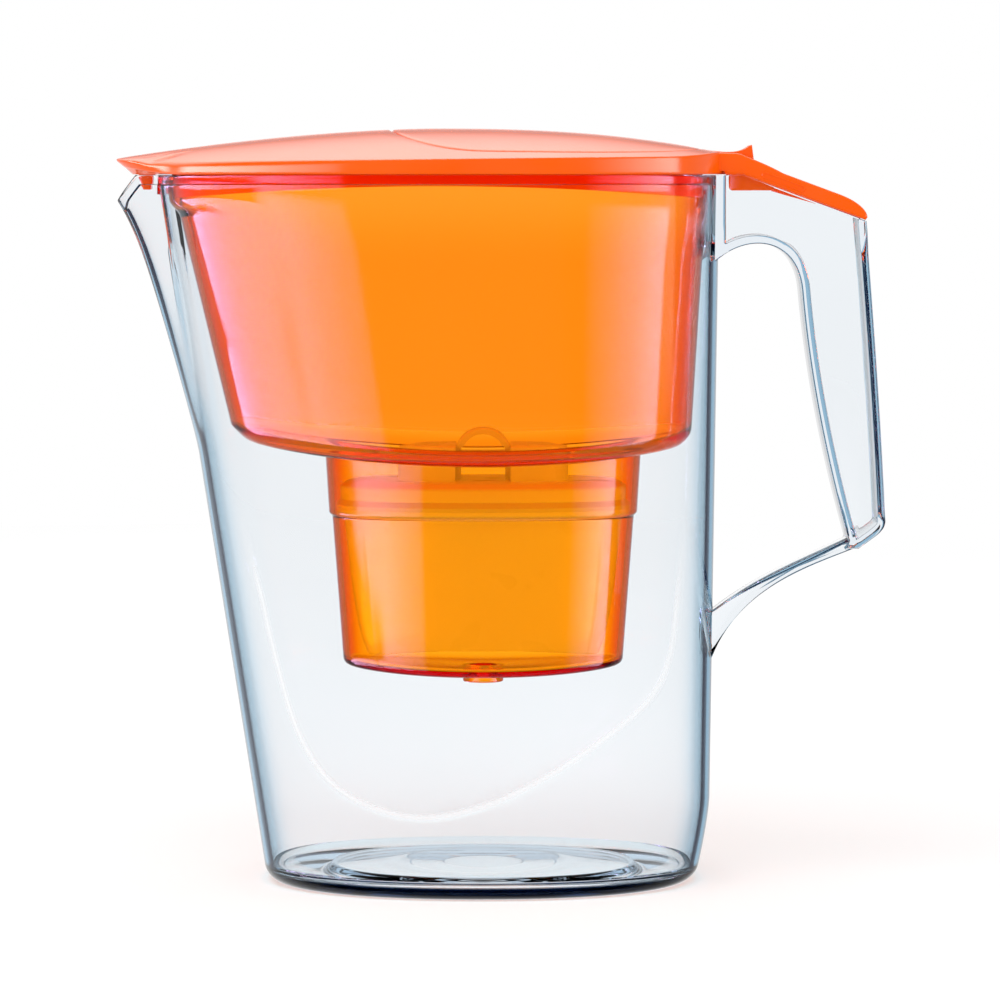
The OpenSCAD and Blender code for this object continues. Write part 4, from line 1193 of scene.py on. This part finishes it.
def painted_ridge_highlight(material):
    """Painted highlight along the soft ridge on the jug's side: the plastic there lets less light through, so
    its pale base colour shows as a light line.
    """
    tree = material.node_tree
    ridge = add_node(tree, "Attribute", attribute_name="ridge").outputs["Fac"]
    # Painted highlight: less transmission along the ridge's top.
    feed(tree.nodes["Principled BSDF"], {"Transmission Weight": step(ridge, 0, 1, 1.0, 0.45)})


def granule_material():
    """Packed bed of dark and pale granules."""
    material, tree, shader = new_material("filter_granules")
    cells = add_node(tree, "TexVoronoi", {"Vector": place_in(tree), "Scale": 900}).outputs
    grey = add_node(tree, "RGBToBW", {"Color": cells["Color"]}).outputs[0]
    feed(shader, {
        "Base Color": shade(grey, (0.03, 0.03, 0.03), (0.5, 0.48, 0.42)), "Roughness": 0.8,
        "Normal": bumped(cells["Distance"], 0.9, 0.0008, invert=True)})
    return material


# edge and rim are painted edge shade: rim is a near-black painted dark line along the edges, foot the height of
# the painted dark line under the foot
clear_plastic = clear(
    "clear_jug_plastic", tint=(0.945, 0.96, 0.972), edge=(0.42, 0.66, 0.82), rim=(0.0006, 0.003, 0.018),
    reach=(0.36, 0.8), absorbed=(0.0, 0.3, 0.6), density=6, rough=0.0, shine=0.06, foot=0.004)
painted_ridge_highlight(clear_plastic)
# edge and rim are painted edge shade: rim is a dark red painted line along the edges
orange_glass = clear(
    "tinted_orange_plastic", tint=(1.0, 0.97, 0.86), edge=(0.97, 0.3, 0.08), rim=(0.45, 0.02, 0.02),
    reach=(0.15, 0.7), absorbed=(0.999, 0.775, 0.0), density=1200, rough=0.05, shine=0.4,
    upper=(1.0, 0.85, 0.86))
orange = moulded("glossy_orange_plastic", (0.97, 0.108, 0.0015), (1.0, 0.118, 0.002), 0.17, 0.2)
white = moulded("white_cartridge_plastic", (0.95, 0.93, 0.88), (0.98, 0.96, 0.91), 0.3, 0.3, 0.03)
mesh_white = moulded("white_filter_mesh", (0.8, 0.8, 0.78), (0.86, 0.86, 0.84), 0.5, 0.0, 0.1, 1500)
rubber = moulded("pale_seal_rubber", (0.78, 0.77, 0.74), (0.84, 0.83, 0.8), 0.5, 0.0, 0.08, 700)
granules = granule_material()


def dress(piece, material, body, node):
    """Gives a finished piece its material and body, and hides the CAD node that it stands for."""
    piece.data.materials.clear()
    piece.data.materials.append(material)
    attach(piece, body)
    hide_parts(node)


def dress_node(node, material):
    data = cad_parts[node].data
    data.materials.clear()
    data.materials.append(material)


dress(jug(), clear_plastic, "jug", "jug")
dress(funnel(), orange_glass, "funnel", "funnel")
dress(lid(), orange, "lid", "lid")
dress(flap(), orange, "flap", "flip_lid")
dress(cartridge_shell(), white, "cartridge", "cartridge_shell")
dress(cartridge_cover(), white, "cartridge", "cartridge_cover")
dress(weave("intake_weave", 42.3, CART_TOP - 0.8), mesh_white, "cartridge", "intake_mesh")
dress(weave("outlet_weave", 34.8, CART_BOTTOM_H + CART_WALL), mesh_white, "cartridge", "outlet_mesh")
dress_node("cartridge_seal", rubber)
dress_node("filter_media", granules)

# ---------- Table, studio and camera ----------


def emit(tree, colour, strength=1.0):
    return add_node(tree, "Background", {"Color": colour, "Strength": strength}).outputs[0]


def choose(factor, first, second):
    """The first shader, or the second where factor is 1."""
    return add_node(factor.id_data, "MixShader", {0: factor, 1: first, 2: second}).outputs[0]


def lid_light(round_, up, low):
    """Strength of what the lid reflects: low soft boxes, and a sheet that slopes up over the far side."""
    level = times(step(up, -4, -2.5), step(up, 20, 12))
    sheet = number("MAXIMUM", step(up, 16, 40, 0.4, 2.6), step(up, 10, 7))
    turned = number("MAXIMUM", step(round_, 150, 178, 0.5, 1.0), step(round_, 5, -5))
    sheet = times(sheet, step(number("ABSOLUTE", round_), 75, 110), turned)
    return number("ADD", times(low, level), sheet)


def jug_light(tree, round_, up, left, right):
    """What things inside the jug reflect: the same boxes between dark flags, and a pale far side."""
    floor_side = step(up, -34, -30)
    inner = step(round_, -54, -46)
    outer_top = times(step(up, -14.0, -15.2), number("SUBTRACT", 1.0, inner))
    left_top = number("ADD", times(step(up, -6, -9), inner), outer_top)
    left = times(left, left_top, floor_side)
    right = times(right, step(up, -3, -4.5), floor_side)
    back = number("ABSOLUTE", round_)
    behind = number("MAXIMUM", step(back, 95, 125, 0.005, 0.4), step(back, 150, 165, 0.005, 0.85))
    behind = number("MAXIMUM", behind, step(up, 26, 42, 0.005, 0.5))
    below = step(up, -34, -42)
    near = add_node(tree, "CombineColor")
    for channel, tint_left, tint_right, tint_below in (
            ("Red", 18.0, 11.0, 0.2), ("Green", 11.0, 9.0, 0.42), ("Blue", 19.0, 13.0, 0.6)):
        boxes = number("ADD", times(left, tint_left), times(right, tint_right))
        rest = number("MAXIMUM", behind, times(below, tint_below))
        feed(near, {channel: number("MAXIMUM", boxes, rest)})
    return near.outputs["Color"]


def wall_light(round_, up):
    """What light inside the jug's walls meets: sky blue with four tall dark flags between."""
    window = times(step(number("PINGPONG", round_, 45.0), 30, 26), step(up, -18, -14), step(up, 28, 22))
    return blended(window, (0.003, 0.01, 0.04), (0.36, 0.56, 0.7))


def studio():
    """White room that clear walls show straight through, with soft boxes and dark flags for reflections."""
    world = bpy.data.worlds.new("studio")
    bpy.context.scene.world = world
    world.use_nodes = True
    world.cycles.sampling_method = "NONE"
    tree = world.node_tree
    tree.nodes.clear()
    x, y, z = add_node(tree, "SeparateXYZ", {
        "Vector": add_node(tree, "TexCoord").outputs["Generated"]}).outputs
    # angle round from the viewer's side, positive to the right, and height above the horizon
    degrees = 180 / math.pi
    round_ = times(number("ARCTAN2", x, times(y, -1.0)), degrees)
    up = times(number("ARCSINE", z), degrees)
    left = times(step(round_, -19.5, -21.5), step(round_, -20, -62, 0.16, 1.0), step(round_, -120, -114))
    right = times(step(round_, 36, 74), step(round_, 85, 82))
    low = number("ADD", times(left, step(round_, -102, -92), 10.0), times(right, 6.0))

    path = add_node(tree, "LightPath").outputs
    through, lit = path["Transmission Depth"], number("GREATER_THAN", path["Diffuse Depth"], 0.5)
    bounced = times(number("GREATER_THAN", path["Glossy Depth"], 0.5), number("SUBTRACT", 1.0, lit))
    # how many plastic faces light has passed: one into a wall, four across the jug, eight with the funnel
    in_wall, in_jug, in_funnel = [number("GREATER_THAN", through, faces) for faces in (0.5, 2.5, 6.5)]
    in_floor = number("COMPARE", through, 5.5, 0.9)
    room = blended(in_funnel, (1, 1, 1), (1.3, 1.3, 1.3))
    room = blended(times(in_funnel, lit), room, (1.3, 1.5, 1.5))
    mirror = emit(tree, (1, 1, 1, 1), lid_light(round_, up, low))
    mirror = choose(in_wall, mirror, emit(tree, wall_light(round_, up)))
    mirror = choose(in_jug, mirror, emit(tree, jug_light(tree, round_, up, left, right)))
    mirror = choose(in_floor, mirror, emit(tree, (0.7, 0.84, 0.94, 1)))
    add_node(tree, "OutputWorld", {"Surface": choose(bounced, emit(tree, room), mirror)})


def table():
    """Pale round table top. Reflected light passes it, so that the soft boxes reach below its level."""
    a = np.linspace(0, 2 * np.pi, 96, endpoint=False)
    low, high = -6, -0.05
    rings = [ring(r * np.cos(a), r * np.sin(a), z) for r, z in ((1500, low), (1500, high), (400, high))]
    top = skin("table", rings, ((0, 0, low), (0, 0, high)))
    material, tree, shader = new_material("pale_table")
    tree.nodes.remove(shader)
    plain = add_node(tree, "BsdfDiffuse", {
        "Color": shade(noise(tree, 3), (0.93, 0.93, 0.93), (0.94, 0.94, 0.94))})
    path = add_node(tree, "LightPath").outputs
    seen = number("LESS_THAN", path["Diffuse Depth"], 0.5)
    lift = add_node(tree, "Emission", {"Strength": times(seen, 0.04)})
    lifted = add_node(tree, "AddShader", {0: plain.outputs[0], 1: lift.outputs[0]})
    gone = add_node(tree, "BsdfTransparent")
    mix = choose(number("GREATER_THAN", path["Glossy Depth"], 0.5), lifted.outputs[0], gone.outputs[0])
    feed(tree.nodes["Material Output"], {"Surface": mix})
    top.data.materials.append(material)


def camera():
    data = bpy.data.cameras.new("camera")
    data.lens = 157.5
    data.sensor_width = 36
    data.clip_end = 20
    eye = add_object("camera", data)
    eye.location = (5.63 * MM, -1450 * MM, 234 * MM)
    eye.rotation_euler = (math.radians(90 - 4.2486), 0, 0)
    bpy.context.scene.camera = eye


def lamp():
    """Soft light from above and in front, aimed at the jug's upper part."""
    data = bpy.data.lights.new("overhead", "AREA")
    data.size = 0.9
    data.energy = 3.4
    light = add_object("overhead", data)
    light.location = (-0.3, -0.6, 1.3)
    light.rotation_euler = (Vector((0, 0, 0.2)) - light.location).to_track_quat("-Z", "Y").to_euler()
    light.visible_glossy = light.visible_transmission = light.visible_camera = False


studio()
table()
lamp()
camera()

scene = bpy.context.scene
scene.view_settings.view_transform = "Standard"
scene.cycles.max_bounces = 24
scene.cycles.transmission_bounces = 24
scene.cycles.glossy_bounces = 12
scene.cycles.blur_glossy = 0
